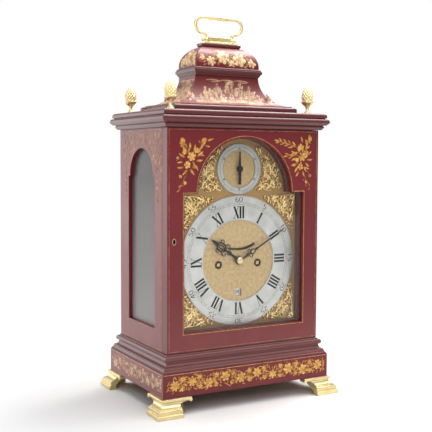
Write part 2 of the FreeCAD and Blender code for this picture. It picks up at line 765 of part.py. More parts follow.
def bail_wire():
    """A round bar swept along the bail's bent line of straight runs and tangent arcs."""
    half, axis = size("bail_half"), size("bail_axis")
    neck_top, low, high = size("bail_neck_top"), size("bail_low"), size("bail_high")
    bend, corner = size("bail_bend_start"), size("bail_corner")
    neck_bend, corner_bend = size("bail_neck_bend"), size("bail_corner_bend")
    slant = math.sqrt(0.5)

    def line_of(sign):
        spots = [FreeCAD.Vector(sign * x, 0, z) for x, z in (
            (half, axis), (half, neck_top), (bend - neck_bend * slant, low - neck_bend * (1 - slant)),
            (bend, low),
            (corner, low), (corner + corner_bend, low + corner_bend), (corner, high))]
        return [Part.LineSegment(spots[0], spots[1]), Part.Arc(*spots[1:4]),
                Part.LineSegment(spots[3], spots[4]),
                Part.Arc(*spots[4:7])]

    top = Part.LineSegment(FreeCAD.Vector(corner, 0, high), FreeCAD.Vector(-corner, 0, high))
    edges = [part.toShape() for part in line_of(1) + [top] + line_of(-1)]
    path = Part.Wire(Part.__sortEdges__(edges))
    start = Part.Wire(Part.makeCircle(size("bail_wire"), FreeCAD.Vector(half, 0, axis)))
    if path.Edges[0].firstVertex().X < 0:
        start = Part.Wire(Part.makeCircle(size("bail_wire"), FreeCAD.Vector(-half, 0, axis)))
    return path.makePipeShell([start], True, False)


bail_parts = [feature("bail_wire", bail_wire())]
bail_parts.append(turned("bail_grip", "x", ("0", "bail_high"), "-bail_corner", [
    ("bail_wire", "0"), ("bail_grip_radius", "bail_corner"), ("bail_wire", "2 * bail_corner")]))
eye_holes = []
for sign in (-1, 1):
    ends = (f"{sign} * bail_half - bail_eye_length / 2", f"{sign} * bail_half + bail_eye_length / 2")
    bail_parts.append(rod("bail_eye", "x", "bail_eye_radius", ("0", "bail_axis"), *ends))
    eye_holes.append(rod("bail_eye_hole", "x", "bail_pin_radius + running_gap", ("0", "bail_axis"),
                         ends[0] + " - overrun", ends[1] + " + overrun"))
keep(cut("handle_bail", fuse("bail_whole", *bail_parts), *eye_holes))

# The front door: frame, glass, the bead that holds the glass, and a lock with a bolt.
sight = ("sight_half", "sight_bottom", "sight_shoulder", "sight_arch_radius")
door_block = block("door_block", ("-half_width", "half_width"), ("front", "door_back"),
                   ("door_bottom", "door_top"))
door_sight = prism("door_sight", "XZ", arched(*sight), "front - overrun", "door_back + overrun")
door_rebate = prism("door_rebate", "XZ", arched(*sight, "glass_rebate"), "glass_front",
                    "door_back + overrun")
keyhole = rod("keyhole", "y", "keyhole_radius", ("key_x", "key_height"), "front - overrun",
              "door_back + overrun")
keep(cut("front_door", door_block, door_sight, door_rebate, keyhole))
keep(prism("front_door_glass", "XZ", arched(*sight, "glass_rebate"), "glass_front", "glass_back"))
bead_block = prism("bead_block", "XZ", arched(*sight, "glass_rebate"), "glass_back", "door_back")
bead_sight = prism("bead_sight", "XZ", arched(*sight), "glass_back - overrun", "door_back + overrun")
keep(cut("front_door_bead", bead_block, bead_sight))
lock_ends = ("key_height - lock_height / 2", "key_height + lock_height / 2")
bolt_ends = ("key_height - bolt_height / 2", "key_height + bolt_height / 2")
lock_block = block("lock_block", ("lock_left", "lock_left + lock_width"), ("door_back", "lock_back"),
                   lock_ends)
bolt_way = block("bolt_way", ("lock_left - overrun", "lock_left + bolt_length + moving_gap"),
                 ("bolt_front - running_gap", "bolt_front + bolt_thick + running_gap"),
                 (bolt_ends[0] + " - running_gap", bolt_ends[1] + " + running_gap"))
key_way = rod("key_way", "y", "keyhole_radius", ("key_x", "key_height"), "door_back - overrun",
              "bolt_front")
keep(cut("door_lock", lock_block, bolt_way, key_way))
keep(block("lock_bolt", ("lock_left", "lock_left + bolt_length"),
           ("bolt_front", "bolt_front + bolt_thick"), bolt_ends))


def hinge(name, turn, x, y, z):
    """One butt hinge. Before it is turned, its leaves lie on a plane that faces +X, the fixed leaf towards
    +Y with two knuckles and the pin, the moving leaf towards -Y with the middle knuckle."""
    third = "hinge_height / 3"
    stand = "hinge_knuckle + moving_gap"
    pin = rod(name + "_pin", "z", "hinge_pin", (stand, "0"), "0", "hinge_height")
    fixed = [block(name + "_fixed_leaf", ("0", "hinge_leaf_thick"), ("moving_gap", "hinge_leaf"),
                   ("0", "hinge_height")), pin]
    moving = [block(name + "_moving_leaf", ("0", "hinge_leaf_thick"), ("-hinge_leaf", "-moving_gap"),
                    ("0", "hinge_height"))]
    for low, high, side, reach in (("0", third, fixed, ("0", "hinge_knuckle")),
                                   (f"2 * {third}", "hinge_height", fixed, ("0", "hinge_knuckle")),
                                   (third + " + moving_gap", f"2 * {third} - moving_gap", moving,
                                    ("-hinge_knuckle", "0"))):
        side.append(rod(name + "_knuckle", "z", "hinge_knuckle", (stand, "0"), low, high))
        side.append(block(name + "_web", ("0", stand), reach, (low, high)))
    gap = rod(name + "_gap", "z", "hinge_knuckle + moving_gap", (stand, "0"), f"{third}", f"2 * {third}")
    clear_ends = [rod(name + "_clear", "z", "hinge_knuckle + moving_gap", (stand, "0"), *ends) for ends in (
        ("-overrun", third + " + moving_gap"), (f"2 * {third} - moving_gap", "hinge_height + overrun"))]
    bore = rod(name + "_bore", "z", "hinge_pin + running_gap", (stand, "0"), "-overrun",
               "hinge_height + overrun")
    fixed_solid = fuse(name + "_fixed", cut(name + "_fixed_cut", fuse(name + "_fixed_all", *fixed), gap),
                       pin)
    moving_solid = cut(name + "_moving", fuse(name + "_moving_all", *moving), bore, *clear_ends)
    for half in (fixed_solid, moving_solid):
        half.Placement.Rotation = FreeCAD.Rotation(FreeCAD.Vector(0, 0, 1), turn)
        place(half, x, y, z)
    return fixed_solid, moving_solid


front_hinges = [hinge("front_hinge", 0, "half_width", "door_back + joint_gap / 2", z) for z in (
    "door_bottom + hinge_end_inset", "door_top - hinge_end_inset - hinge_height")]
back_hinges = [hinge("back_hinge", 90, "-inside + joint_gap / 2", "half_depth", z) for z in (
    "back_door_bottom + hinge_end_inset", "back_door_top - hinge_end_inset - hinge_height")]
keep(group("case_hinge_leaves", *(fixed for fixed, moving in front_hinges + back_hinges)))
keep(group("front_hinge_leaves", *(moving for fixed, moving in front_hinges)))
keep(group("back_hinge_leaves", *(moving for fixed, moving in back_hinges)))

# The back door, its glass and the turn catch on its free edge.
back_sight = ("back_sight_half", "back_sight_bottom", "back_sight_shoulder", "back_arch_radius")
back_block = block("back_block", ("-back_door_half", "back_door_half"), ("back_front", "half_depth"),
                   ("back_door_bottom", "back_door_top"))
back_hole = prism("back_hole", "XZ", arched(*back_sight), "back_front - overrun", "half_depth + overrun")
back_rebate = prism("back_rebate", "XZ", arched(*back_sight, "glass_rebate"), "back_front - overrun",
                    "back_glass_front")
catch_spot = ("back_door_half - catch_width", "key_height")
catch_hole = rod("catch_hole", "y", "catch_screw", catch_spot, "back_front - overrun",
                 "half_depth + overrun")
keep(cut("back_door", back_block, back_hole, back_rebate, catch_hole))
keep(prism("back_door_glass", "XZ", arched(*back_sight, "glass_rebate"), "back_front", "back_glass_front"))
catch_stem = rod("catch_stem", "y", "catch_screw - running_gap", catch_spot,
                 "back_front - moving_gap - catch_thick", "half_depth + moving_gap")
catch_knob = rod("catch_knob", "y", "catch_knob", catch_spot, "half_depth + moving_gap",
                 "half_depth + moving_gap + catch_knob")
catch_tongue = block("catch_tongue",
                     (catch_spot[0] + " - catch_width / 2", catch_spot[0] + " + catch_width / 2"),
                     ("back_front - moving_gap - catch_thick", "back_front - moving_gap"),
                     ("key_height - catch_width / 2", "key_height + catch_length"))
keep(fuse("back_door_catch", catch_stem, catch_knob, catch_tongue))

# The mask round the dial, and the dial: plate, chapter ring, subsidiary ring and cast corner mounts.
mask_block = block("mask_block", ("-inside", "inside"), ("dial_front - mask_thick", "dial_front"),
                   ("case_bottom", "case_top"))
mask_hole = prism("mask_hole", "XZ", arched(*sight, "0 - mask_lap"), "carcass_front - overrun",
                  "dial_front + overrun")
mask_notch = block("mask_notch", ("-inside - overrun", "lock_left + lock_width + moving_gap * 2"),
                   ("carcass_front - overrun", "dial_front + overrun"),
                   (lock_ends[0] + " - moving_gap", lock_ends[1] + " + moving_gap"))
keep(cut("dial_mask", mask_block, mask_hole, mask_notch))


def slot_outline():
    """A slot that follows part of a circle about the pendulum's pivot, open upwards like a smile."""
    sine, cosine = "sin(slot_half_angle * 1 deg)", "cos(slot_half_angle * 1 deg)"
    outer, inner = "(slot_radius + slot_width / 2)", "(slot_radius - slot_width / 2)"
    return [(f"-{outer} * {sine}", f"pallet_z - {outer} * {cosine}"),
            (f"{outer} * {sine}", f"pallet_z - {outer} * {cosine}", "ccw", "y", "pallet_z"),
            (f"{inner} * {sine}", f"pallet_z - {inner} * {cosine}"),
            (f"-{inner} * {sine}", f"pallet_z - {inner} * {cosine}", "cw", "y", "pallet_z")]


through_dial = ("dial_face - overrun", "dial_back + overrun")
dial_blank = prism("dial_blank", "XZ", arched(*sight, "dial_margin"), "dial_front", "dial_back")
dial_foot_places = [(f"{side} * (plate_width / 2 - dial_foot_inset)", z) for side in (-1, 1)
                    for z in ("pillar_low + dial_foot_inset", "pillar_high - dial_foot_inset / 2")]
dial_feet = [rod("dial_foot", "y", "dial_foot_radius", spot, "dial_back", "plate_front")
             for spot in dial_foot_places]
GUIDE_SPOT_SHARE = math.sqrt(0.5)
guide_reach = f"{GUIDE_SPOT_SHARE} * (date_ring_inner - running_gap - dial_foot_radius)"
dial_feet += [rod("date_guide", "y", "dial_foot_radius",
                  (f"{side} * {guide_reach}", f"dial_centre + {end} * {guide_reach}"),
                  "dial_back", "dial_back + date_ring_thick + moving_gap * 2")
              for side in (-1, 1) for end in (-1, 1)]
dial_holes = [prism("pendulum_slot", "XZ", slot_outline(), *through_dial),
              block("date_hole", ("-date_window / 2", "date_window / 2"), through_dial,
                    ("date_z - date_window / 2", "date_z + date_window / 2")),
              rod("centre_hole", "y", "hour_pipe_radius + moving_gap", ("0", "dial_centre"), *through_dial),
              rod("sub_hole", "y", "pivot_radius + running_gap", ("0", "sub_centre"), *through_dial)]
dial_holes += [rod("winding_hole", "y", "winding_hole", (f"{side} * winding_half", "winding_z"),
                   *through_dial)
               for side in (-1, 1)]
keep(cut("dial_plate", fuse("dial_with_feet", dial_blank, *dial_feet), *dial_holes))
keep(cut("chapter_ring",
         rod("chapter_disc", "y", "ring_radius", ("0", "dial_centre"), "dial_face", "dial_front"),
         rod("chapter_hole", "y", "ring_inner", ("0", "dial_centre"), "dial_face - overrun",
             "dial_front + overrun")))
keep(cut("subsidiary_ring",
         rod("sub_disc", "y", "sub_radius", ("0", "sub_centre"), "dial_face", "dial_front"),
         rod("sub_disc_hole", "y", "sub_inner", ("0", "sub_centre"), "dial_face - overrun",
             "dial_front + overrun")))


def corner_outline(side, end):
    """A corner mount: two straight edges along the dial and a round one along the chapter ring."""
    reach = "(ring_radius + spandrel_margin)"
    edge_x = "(sight_half - mask_lap - spandrel_margin)"
    edge_z = {1: "(sight_shoulder - mask_lap - spandrel_margin - dial_centre)",
              -1: "(dial_centre - sight_bottom - mask_lap - spandrel_margin)"}[end]
    corner = (f"{side} * {edge_x}", f"dial_centre + {end} * {edge_z}")
    near_x = (f"{side} * {edge_x}", f"dial_centre + {end} * sqrt({reach}^2 - {edge_x}^2)")
    near_z = (f"{side} * sqrt({reach}^2 - {edge_z}^2)", corner[1])
    turn = "ccw" if side == end else "cw"
    return [corner, near_z, near_x + ({"ccw": "cw", "cw": "ccw"}[turn], "x", "0")]


mount_ends = ("dial_front - spandrel_thick", "dial_front")
keep(group("corner_spandrels", *(prism("corner_mount", "XZ", corner_outline(side, end), *mount_ends)
                                 for side in (-1, 1) for end in (-1, 1))))


def arch_outline():
    """The mount to the right of the subsidiary ring, between that ring, the arch and its springing."""
    ring = "(sub_radius + spandrel_margin)"
    arch = "(sight_arch_radius - mask_lap - spandrel_margin)"
    level = "sight_shoulder + spandrel_margin"
    drop = "(sub_centre_rise - spandrel_margin)"
    outer_angle = "(arch_mount_outer_angle * 1 deg)"
    inner_angle = "(arch_mount_inner_angle * 1 deg)"
    return [(f"sqrt({arch}^2 - spandrel_margin^2)", level),
            (f"{arch} * cos{outer_angle}", f"sight_shoulder + {arch} * sin{outer_angle}", "ccw", "x", "0"),
            (f"{ring} * cos{inner_angle}", f"sub_centre + {ring} * sin{inner_angle}"),
            (f"sqrt({ring}^2 - {drop}^2)", level, "cw", "x", "0")]


arch_mount = prism("arch_mount", "XZ", arch_outline(), *mount_ends)
keep(group("arch_spandrels", arch_mount, mirror("arch_mount_left", arch_mount, "x")))
keep(cut("date_ring",
         rod("date_disc", "y", "date_ring_radius", ("0", "dial_centre"), "dial_back + moving_gap",
             "dial_back + moving_gap + date_ring_thick"),
         rod("date_disc_hole", "y", "date_ring_inner", ("0", "dial_centre"), "dial_back", "plate_front")))


# The hands, each drawn pointing up and then turned to its place on the dial.
def hand(label, angle, z, parts, holes):
    """A flat pierced hand about the Y axis, placed on the dial at an angle clockwise from the top."""
    whole = cut(label, fuse(label + "_parts", *parts), *holes)
    whole.Placement.Rotation = FreeCAD.Rotation(ALONG_Y, size(angle))
    return place(whole, z=z)


def blade(label, low, high, width_low, width_high, layer):
    """A tapering flat bar from one distance out to another."""
    return prism(label, "XZ", [(f"-{width_low} / 2", low), (f"{width_low} / 2", low),
                               (f"{width_high} / 2", high),
                               (f"-{width_high} / 2", high)], *layer)


HOUR_SHARES = {"loop": 0.46, "loop_out": 0.085, "loop_radius": 0.10, "loop_hole": 0.062, "leaf": 0.70,
               "leaf_half": 0.075,
               "stem": 0.055, "tip": 0.016}
MINUTE_SHARES = {"loop": 0.24, "loop_radius": 0.058, "loop_hole": 0.034, "stem": 0.040, "tip": 0.012}
hour_layer = ("hour_front", "hour_back")
minute_layer = ("minute_front", "minute_back")
hour_loops = [(f"{side} * {HOUR_SHARES['loop_out']} * hour_length", f"{HOUR_SHARES['loop']} * hour_length")
              for side in (-1, 1)]
leaf_half = f"{HOUR_SHARES['leaf_half']} * hour_length"
leaf_middle = f"{HOUR_SHARES['leaf']} * hour_length"
leaf_span = f"2 * {leaf_half}"
hour_parts = [
    rod("hour_boss", "y", "hour_boss", ("0", "0"), *hour_layer),
    blade("hour_stem", "0", "hour_length", f"{HOUR_SHARES['stem']} * hour_length",
          f"{HOUR_SHARES['tip']} * hour_length",
          hour_layer),
    prism("hour_leaf", "XZ", [("0", f"{leaf_middle} - {leaf_span}"), (leaf_half, leaf_middle),
                              ("0", f"{leaf_middle} + {leaf_span}"), (f"-{leaf_half}", leaf_middle)],
                              *hour_layer)]
hour_parts += [rod("hour_loop", "y", f"{HOUR_SHARES['loop_radius']} * hour_length", spot, *hour_layer)
               for spot in hour_loops]
hour_holes = [rod("hour_loop_hole", "y", f"{HOUR_SHARES['loop_hole']} * hour_length", spot,
                  "hour_front - overrun",
                  "hour_back + overrun") for spot in hour_loops]
hour_holes.append(rod("hour_bore", "y", "hour_pipe_radius", ("0", "0"), "hour_front - overrun",
                      "hour_back + overrun"))
keep(hand("hour_hand", "hour_angle", "dial_centre", hour_parts, hour_holes))
minute_loop = ("0", f"{MINUTE_SHARES['loop']} * minute_length")
minute_parts = [
    rod("minute_boss", "y", "minute_boss", ("0", "0"), *minute_layer),
    blade("minute_stem", "0", "minute_length", f"{MINUTE_SHARES['stem']} * minute_length",
          f"{MINUTE_SHARES['tip']} * minute_length", minute_layer),
    rod("minute_loop", "y", f"{MINUTE_SHARES['loop_radius']} * minute_length", minute_loop, *minute_layer)]
minute_holes = [rod("minute_loop_hole", "y", f"{MINUTE_SHARES['loop_hole']} * minute_length", minute_loop,
                    "minute_front - overrun", "minute_back + overrun"),
                rod("minute_bore", "y", "cannon_radius", ("0", "0"), "minute_front - overrun",
                    "minute_back + overrun")]
keep(hand("minute_hand", "minute_angle", "dial_centre", minute_parts, minute_holes))
COLLET_DOME_SHARE = 1.6
keep(turned("hand_collet", "y", ("0", "dial_centre"), "minute_front - collet_height", [
    ("collet_radius / 3", "0"),
    ("collet_radius", "collet_height", "ccw", "y", f"{COLLET_DOME_SHARE} * collet_height")]))
sub_layer = ("dial_face - hand_gap - hand_thick", "dial_face - hand_gap")
SUB_HAND_SHARES = {"root": 0.16, "tip": 0.05}
sub_parts = [rod("sub_boss", "y", "sub_boss", ("0", "0"), *sub_layer),
             blade("sub_pointer", "0", "sub_hand_length", f"{SUB_HAND_SHARES['root']} * sub_hand_length",
                   f"{SUB_HAND_SHARES['tip']} * sub_hand_length", sub_layer),
             blade("sub_tail", "0 - sub_hand_tail", "0", f"{SUB_HAND_SHARES['root']} * sub_hand_length",
                   f"{SUB_HAND_SHARES['root']} * sub_hand_length", sub_layer),
             rod("sub_stem", "y", "pivot_radius", ("0", "0"), sub_layer[0], "dial_back + dial_thick")]
sub_hand = fuse("subsidiary_hand", *sub_parts)
keep(place(sub_hand, z="sub_centre"))


# Toothed wheels. Teeth are drawn a little narrow and short, so that a pair runs with play.
TOOTH_SHARES = {"rise": 0.80, "fall": 1.15, "root": 0.46, "tip": 0.16}
LEAF_SHARES = {"rise": 0.55, "fall": 1.20, "root": 0.34, "tip": 0.20}


def toothed(teeth, radius, spot, low, thick, first, shares):
    """A toothed disc about the Y axis. first is the angle of a tooth, from +X towards +Z."""
    pitch = 2 * math.pi / teeth
    module = 2 * radius / teeth
    corners = []
    for index in range(teeth):
        middle = first + index * pitch
        for reach, share in ((radius - shares["fall"] * module, -shares["root"]),
                             (radius + shares["rise"] * module, -shares["tip"]),
                             (radius + shares["rise"] * module, shares["tip"]),
                             (radius - shares["fall"] * module, shares["root"])):
            angle = middle + share * pitch / 2
            corners.append(FreeCAD.Vector(spot[0] + reach * math.cos(angle), low,
                                          spot[1] + reach * math.sin(angle)))
    return Part.Face(Part.makePolygon(corners + corners[:1])).extrude(ALONG_Y * thick)


def bar(radius, spot, low, high):
    """A round bar along Y."""
    return Part.makeCylinder(radius, high - low, FreeCAD.Vector(spot[0], low, spot[1]), ALONG_Y)


RIM_SHARE = 0.78
HUB_SHARE = 0.26
ARM_SHARE = 0.13


def crossed(wheel, radius, spot, low, thick):
    """A wheel with the metal between its rim, hub and four arms taken out."""
    over = size("overrun")
    windows = bar(RIM_SHARE * radius, spot, low - over, low + thick + over)
    windows = windows.cut(bar(HUB_SHARE * radius, spot, low - over, low + thick + over))
    half = ARM_SHARE * radius / 2
    for wide, tall in ((radius, half), (half, radius)):
        corner = FreeCAD.Vector(spot[0] - wide, low - over, spot[1] - tall)
        windows = windows.cut(Part.makeBox(2 * wide, thick + 2 * over, 2 * tall, corner))
    return wheel.cut(windows)


def bearing(spot):
    """From one spot to another: their angle, from +X towards +Z."""
    (x_from, z_from), (x_to, z_to) = spot
    return math.atan2(z_to - z_from, x_to - x_from)


def wheel_and_pinion(wheel, pinion, arbor):
    """An arbor with a crossed wheel and a pinion. wheel and pinion: teeth, pitch radius, low, thickness and
    first tooth's angle. arbor: its spot and a list of radius, low and high."""
    spot, spans = arbor
    shape = bar(spans[0][0], spot, *spans[0][1:])
    for span in spans[1:]:
        shape = shape.fuse(bar(span[0], spot, *span[1:]))
    if wheel:
        teeth, radius, low, thick, first = wheel
        disc = crossed(toothed(teeth, radius, spot, low, thick, first, TOOTH_SHARES), radius, spot, low,
                       thick)
        shape = shape.fuse(disc)
    if pinion:
        teeth, radius, low, thick, first = pinion
        shape = shape.fuse(toothed(teeth, radius, spot, low, thick, first, LEAF_SHARES))
    return shape.removeSplitter()


# Tooth counts of the going train and of the motion work behind the dial.
GREAT_TEETH, CENTRE_LEAVES = 72, 6
CENTRE_TEETH, THIRD_LEAVES = 54, 6
THIRD_TEETH, ESCAPE_LEAVES = 48, 6
ESCAPE_TEETH = 24
CANNON_TEETH, MINUTE_TEETH = 12, 36
MINUTE_LEAVES, HOUR_TEETH = 10, 40

centre_spot = (0, size("dial_centre"))
going_spot = (size("winding_half"), size("winding_z"))
strike_spot = (-size("winding_half"), size("winding_z"))
escape_spot = (0, size("escape_z"))
pallet_spot = (0, size("pallet_z"))
minute_spot = (0, size("minute_wheel_z"))
great_distance = math.dist(centre_spot, going_spot)
great_radius = great_distance * GREAT_TEETH / (GREAT_TEETH + CENTRE_LEAVES)
centre_leaf_radius = great_distance - great_radius
THIRD_REACH_SHARES = (0.60, 0.495)
third_distance = THIRD_REACH_SHARES[0] * size("escape_rise")
escape_distance = THIRD_REACH_SHARES[1] * size("escape_rise")
escape_rise = size("escape_rise")
third_rise = (third_distance ** 2 - escape_distance ** 2 + escape_rise ** 2) / (2 * escape_rise)
third_spot = (math.sqrt(third_distance ** 2 - third_rise ** 2), centre_spot[1] + third_rise)
centre_radius = third_distance * CENTRE_TEETH / (CENTRE_TEETH + THIRD_LEAVES)
third_radius = escape_distance * THIRD_TEETH / (THIRD_TEETH + ESCAPE_LEAVES)
cannon_pitch = size("motion_distance") * CANNON_TEETH / (CANNON_TEETH + MINUTE_TEETH)
hour_pitch = size("motion_distance") * HOUR_TEETH / (HOUR_TEETH + MINUTE_LEAVES)

pivot, arbor = size("pivot_radius"), size("arbor_radius")
thick, shake = size("wheel_thick"), size("end_shake")
plate_inner, plate_far = size("plate_inner"), size("plate_far")
plate_front, plate_back = size("plate_front"), size("plate_back")
between = (plate_inner + shake, plate_far - shake)


def facing(spot_from, spot_to, leaves):
    """The angles of a wheel's tooth and of a pinion's leaf that mesh on the line between two spots."""
    angle = bearing((spot_from, spot_to))
    return angle, angle + math.pi + math.pi / leaves


great_first, centre_leaf_first = facing(going_spot, centre_spot, CENTRE_LEAVES)
centre_first, third_leaf_first = facing(centre_spot, third_spot, THIRD_LEAVES)
third_first, escape_leaf_first = facing(third_spot, escape_spot, ESCAPE_LEAVES)
cannon_first, minute_first = facing(centre_spot, minute_spot, MINUTE_TEETH)
hour_first, minute_leaf_first = facing(centre_spot, minute_spot, MINUTE_LEAVES)


def leaves_beside(low_name, high_name):
    """The low end and the length of a pinion that is a little wider than the wheel it meets."""
    side = size("moving_gap")
    return size(low_name) - side, size(high_name) - size(low_name) + 2 * side


centre_arbor_front = size("minute_back")
keep(feature("centre_wheel", wheel_and_pinion(
    (CENTRE_TEETH, centre_radius, size("centre_wheel_front"), thick, centre_first),
    (CENTRE_LEAVES, centre_leaf_radius, *leaves_beside("great_front", "great_back"), centre_leaf_first),
    (centre_spot, [(pivot, centre_arbor_front, plate_back), (arbor, *between)]))))
keep(feature("third_wheel", wheel_and_pinion(
    (THIRD_TEETH, third_radius, size("third_wheel_front"), thick, third_first),
    (THIRD_LEAVES, third_distance - centre_radius,
     *leaves_beside("centre_wheel_front", "centre_wheel_back"),
     third_leaf_first),
    (third_spot, [(pivot, plate_front, plate_back), (arbor, *between)]))))


ESCAPE_SHARES = {"root": 0.80, "lean": 0.30, "point": 0.38}


def escape_disc():
    """A disc with saw-like teeth whose points lie on the escape circle."""
    pitch = 2 * math.pi / ESCAPE_TEETH
    outer = size("escape_radius")
    root = ESCAPE_SHARES["root"] * outer
    corners = []
    for index in range(ESCAPE_TEETH):
        start = index * pitch
        for reach, share in ((root, 0), (outer, ESCAPE_SHARES["lean"]), (outer, ESCAPE_SHARES["point"])):
            angle = start + share * pitch
            corners.append(FreeCAD.Vector(reach * math.cos(angle), size("escape_front"),
                                          escape_spot[1] + reach * math.sin(angle)))
    disc = Part.Face(Part.makePolygon(corners + corners[:1])).extrude(ALONG_Y * thick)
    return crossed(disc, root, escape_spot, size("escape_front"), thick)


escape_shape = wheel_and_pinion(
    None,
    (ESCAPE_LEAVES, escape_distance - third_radius, *leaves_beside("third_wheel_front", "third_wheel_back"),
     escape_leaf_first),
    (escape_spot, [(pivot, plate_front, plate_back), (arbor, *between)]))
keep(feature("escape_wheel", escape_shape.fuse(escape_disc()).removeSplitter()))
keep(feature("cannon_wheel", toothed(CANNON_TEETH, cannon_pitch, centre_spot, size("motion_front"), thick,
                                     cannon_first,
                                     TOOTH_SHARES)
             .fuse(bar(size("cannon_radius"), centre_spot, size("minute_front"), size("motion_front")))
             .cut(bar(pivot + size("running_gap"), centre_spot, size("minute_front") - thick, plate_front))
             .removeSplitter()))
keep(feature("minute_wheel", wheel_and_pinion(
    (MINUTE_TEETH, size("motion_distance") - cannon_pitch, size("motion_front"), thick, minute_first),
    (MINUTE_LEAVES, size("motion_distance") - hour_pitch,
     *leaves_beside("hour_wheel_front", "hour_wheel_back"),
     minute_leaf_first),
    (minute_spot, [(arbor * 2, size("motion_front"), size("motion_back"))]))
    .cut(bar(pivot + size("running_gap"), minute_spot, size("dial_back"), plate_front))))
hour_pipe = bar(size("hour_pipe_radius"), centre_spot, size("hour_front"), size("hour_wheel_front"))
hour_low = size("hour_wheel_front")
hour_disc = toothed(HOUR_TEETH, hour_pitch, centre_spot, hour_low, thick, hour_first, TOOTH_SHARES)
keep(feature("hour_wheel", crossed(hour_disc, hour_pitch, centre_spot, hour_low, thick)
             .fuse(hour_pipe)
             .cut(bar(size("cannon_radius + running_gap"), centre_spot, size("hour_front") - thick,
                      plate_front))
             .removeSplitter()))


GROOVE_SHARE = 0.7


def fusee(spot, radius, teeth, first):
    """A fusee: a great wheel, a stepped cone for the line, and an arbor with a winding square in front."""
    start, end = size("fusee_start"), size("fusee_end")
    great_low = size("great_front")
    shape = crossed(toothed(teeth, radius, spot, great_low, thick, first, TOOTH_SHARES), radius, spot,
                    great_low, thick)
    turns = int(size("fusee_turns"))
    step = (end - start) / turns
    for index in range(turns):
        share = index / (turns - 1)
        reach = size("fusee_large") * (1 - share) + size("fusee_small") * share
        low = start + index * step
        for grow, low_share, high_share in ((0, 0, GROOVE_SHARE), (size("line_radius"), GROOVE_SHARE, 1)):
            shape = shape.fuse(bar(reach + grow, spot, low + low_share * step, low + high_share * step))
    shape = shape.fuse(bar(size("fusee_arbor"), spot, great_low, start))
    shape = shape.fuse(bar(size("fusee_arbor"), spot, plate_front, between[1]))
    shape = shape.fuse(bar(pivot, spot, between[1], plate_back))
    half = size("square_width") / 2
    square = Part.makeBox(2 * half, plate_front - size("dial_front"), 2 * half,
                          FreeCAD.Vector(spot[0] - half, size("dial_front"), spot[1] - half))
    return shape.fuse(square).removeSplitter()


STRIKE_GREAT_SHARE = 0.84
keep(feature("going_fusee", fusee(going_spot, great_radius, GREAT_TEETH, great_first)))
keep(feature("strike_fusee", fusee(strike_spot, great_radius * STRIKE_GREAT_SHARE, GREAT_TEETH, 0)))
barrel_spots = {"going": (size("barrel_out"), size("barrel_z")),
                "strike": (-size("barrel_out"), size("barrel_z"))}
BARREL_LIP_SHARE = 1.04
for name, spot in barrel_spots.items():
    low, high = size("barrel_start"), size("barrel_start + barrel_length")
    drum = bar(size("barrel_radius"), spot, low, high)
    for lip_low in (low, high - thick):
        drum = drum.fuse(bar(size("barrel_radius") * BARREL_LIP_SHARE, spot, lip_low, lip_low + thick))
    drum = drum.fuse(bar(arbor * 2, spot, *between)).fuse(bar(pivot, spot, plate_front, plate_back))
    keep(feature(name + "_barrel", drum.removeSplitter()))
lines = []
for name, fusee_spot, side in (("going", going_spot, 1), ("strike", strike_spot, -1)):
    clear = size("line_radius + moving_gap")
    barrel_reach = size("barrel_radius") + clear
    fusee_reach = size("(fusee_large + fusee_small) / 2 + line_radius * 2") + clear
    apart = math.dist(barrel_spots[name], fusee_spot)
    square = bearing((barrel_spots[name],
                      fusee_spot)) - side * math.acos((barrel_reach - fusee_reach) / apart)
    y = size("(fusee_start + fusee_end) / 2")
    start, end = (FreeCAD.Vector(spot[0] + reach * math.cos(square), y, spot[1] + reach * math.sin(square))
                  for spot, reach in ((barrel_spots[name], barrel_reach), (fusee_spot, fusee_reach)))
    lines.append(feature(name + "_line", Part.makeCylinder(size("line_radius"), (end - start).Length,
                                                           start, end - start)))
keep(group("fusee_lines", *lines))

# The movement's frame: two plates with holes for the arbors, four turned pillars and the back cock.
pivot_hole = "pivot_radius + running_gap"
arbor_spots = [centre_spot, third_spot, escape_spot, *barrel_spots.values()]
hammer_spot = (-size("hammer_out"), size("hammer_z"))


def plate(label, low, high, holes):
    """A movement plate with round holes: spot and radius of each."""
    blank = block(label + "_blank", ("-plate_width / 2", "plate_width / 2"), (low, high),
                  ("seat_top", "plate_top"))
    over = size("overrun")
    drills = [feature(label + "_drill", bar(radius, spot, size(low) - over, size(high) + over)) for spot,
              radius in holes]
    return cut(label, blank, *drills)


fine = size(pivot_hole)
stud = rod("minute_stud", "y", "pivot_radius", ("0", "minute_wheel_z"), "hour_wheel_front - moving_gap",
           "plate_front")
front_holes = [(spot, fine) for spot in arbor_spots + [pallet_spot, hammer_spot]]
front_holes += [(spot, size("fusee_arbor + running_gap")) for spot in (going_spot, strike_spot)]
back_holes = [(spot, fine) for spot in arbor_spots + [hammer_spot, going_spot, strike_spot]]
back_holes.append((pallet_spot, size("arbor_radius * 3")))
keep(fuse("front_plate", plate("front_blank", "plate_front", "plate_inner", front_holes), stud))
keep(plate("back_plate", "plate_far", "plate_back", back_holes))
PILLAR_SHARES = [(1, 0), (1, 0.06), (0.55, 0.12), (0.5, 0.30), (0.8, 0.46), (0.8, 0.54), (0.5, 0.70),
                 (0.55, 0.88), (1, 0.94),
                 (1, 1)]
pillar_profile = [(f"{radius} * pillar_radius", f"{along} * plate_span") for radius, along in PILLAR_SHARES]
keep(group("pillars", *(turned("pillar", "y", (f"{side} * pillar_x", z), "plate_inner", pillar_profile)
                        for side in (-1, 1) for z in ("pillar_low", "pillar_high"))))
cock_z = ("pallet_z - cock_height / 2", "pallet_z + cock_height / 2")
cock_parts = [block("cock_bridge", ("-cock_span / 2", "cock_span / 2"), ("cock_front", "cock_back"),
                    cock_z)]
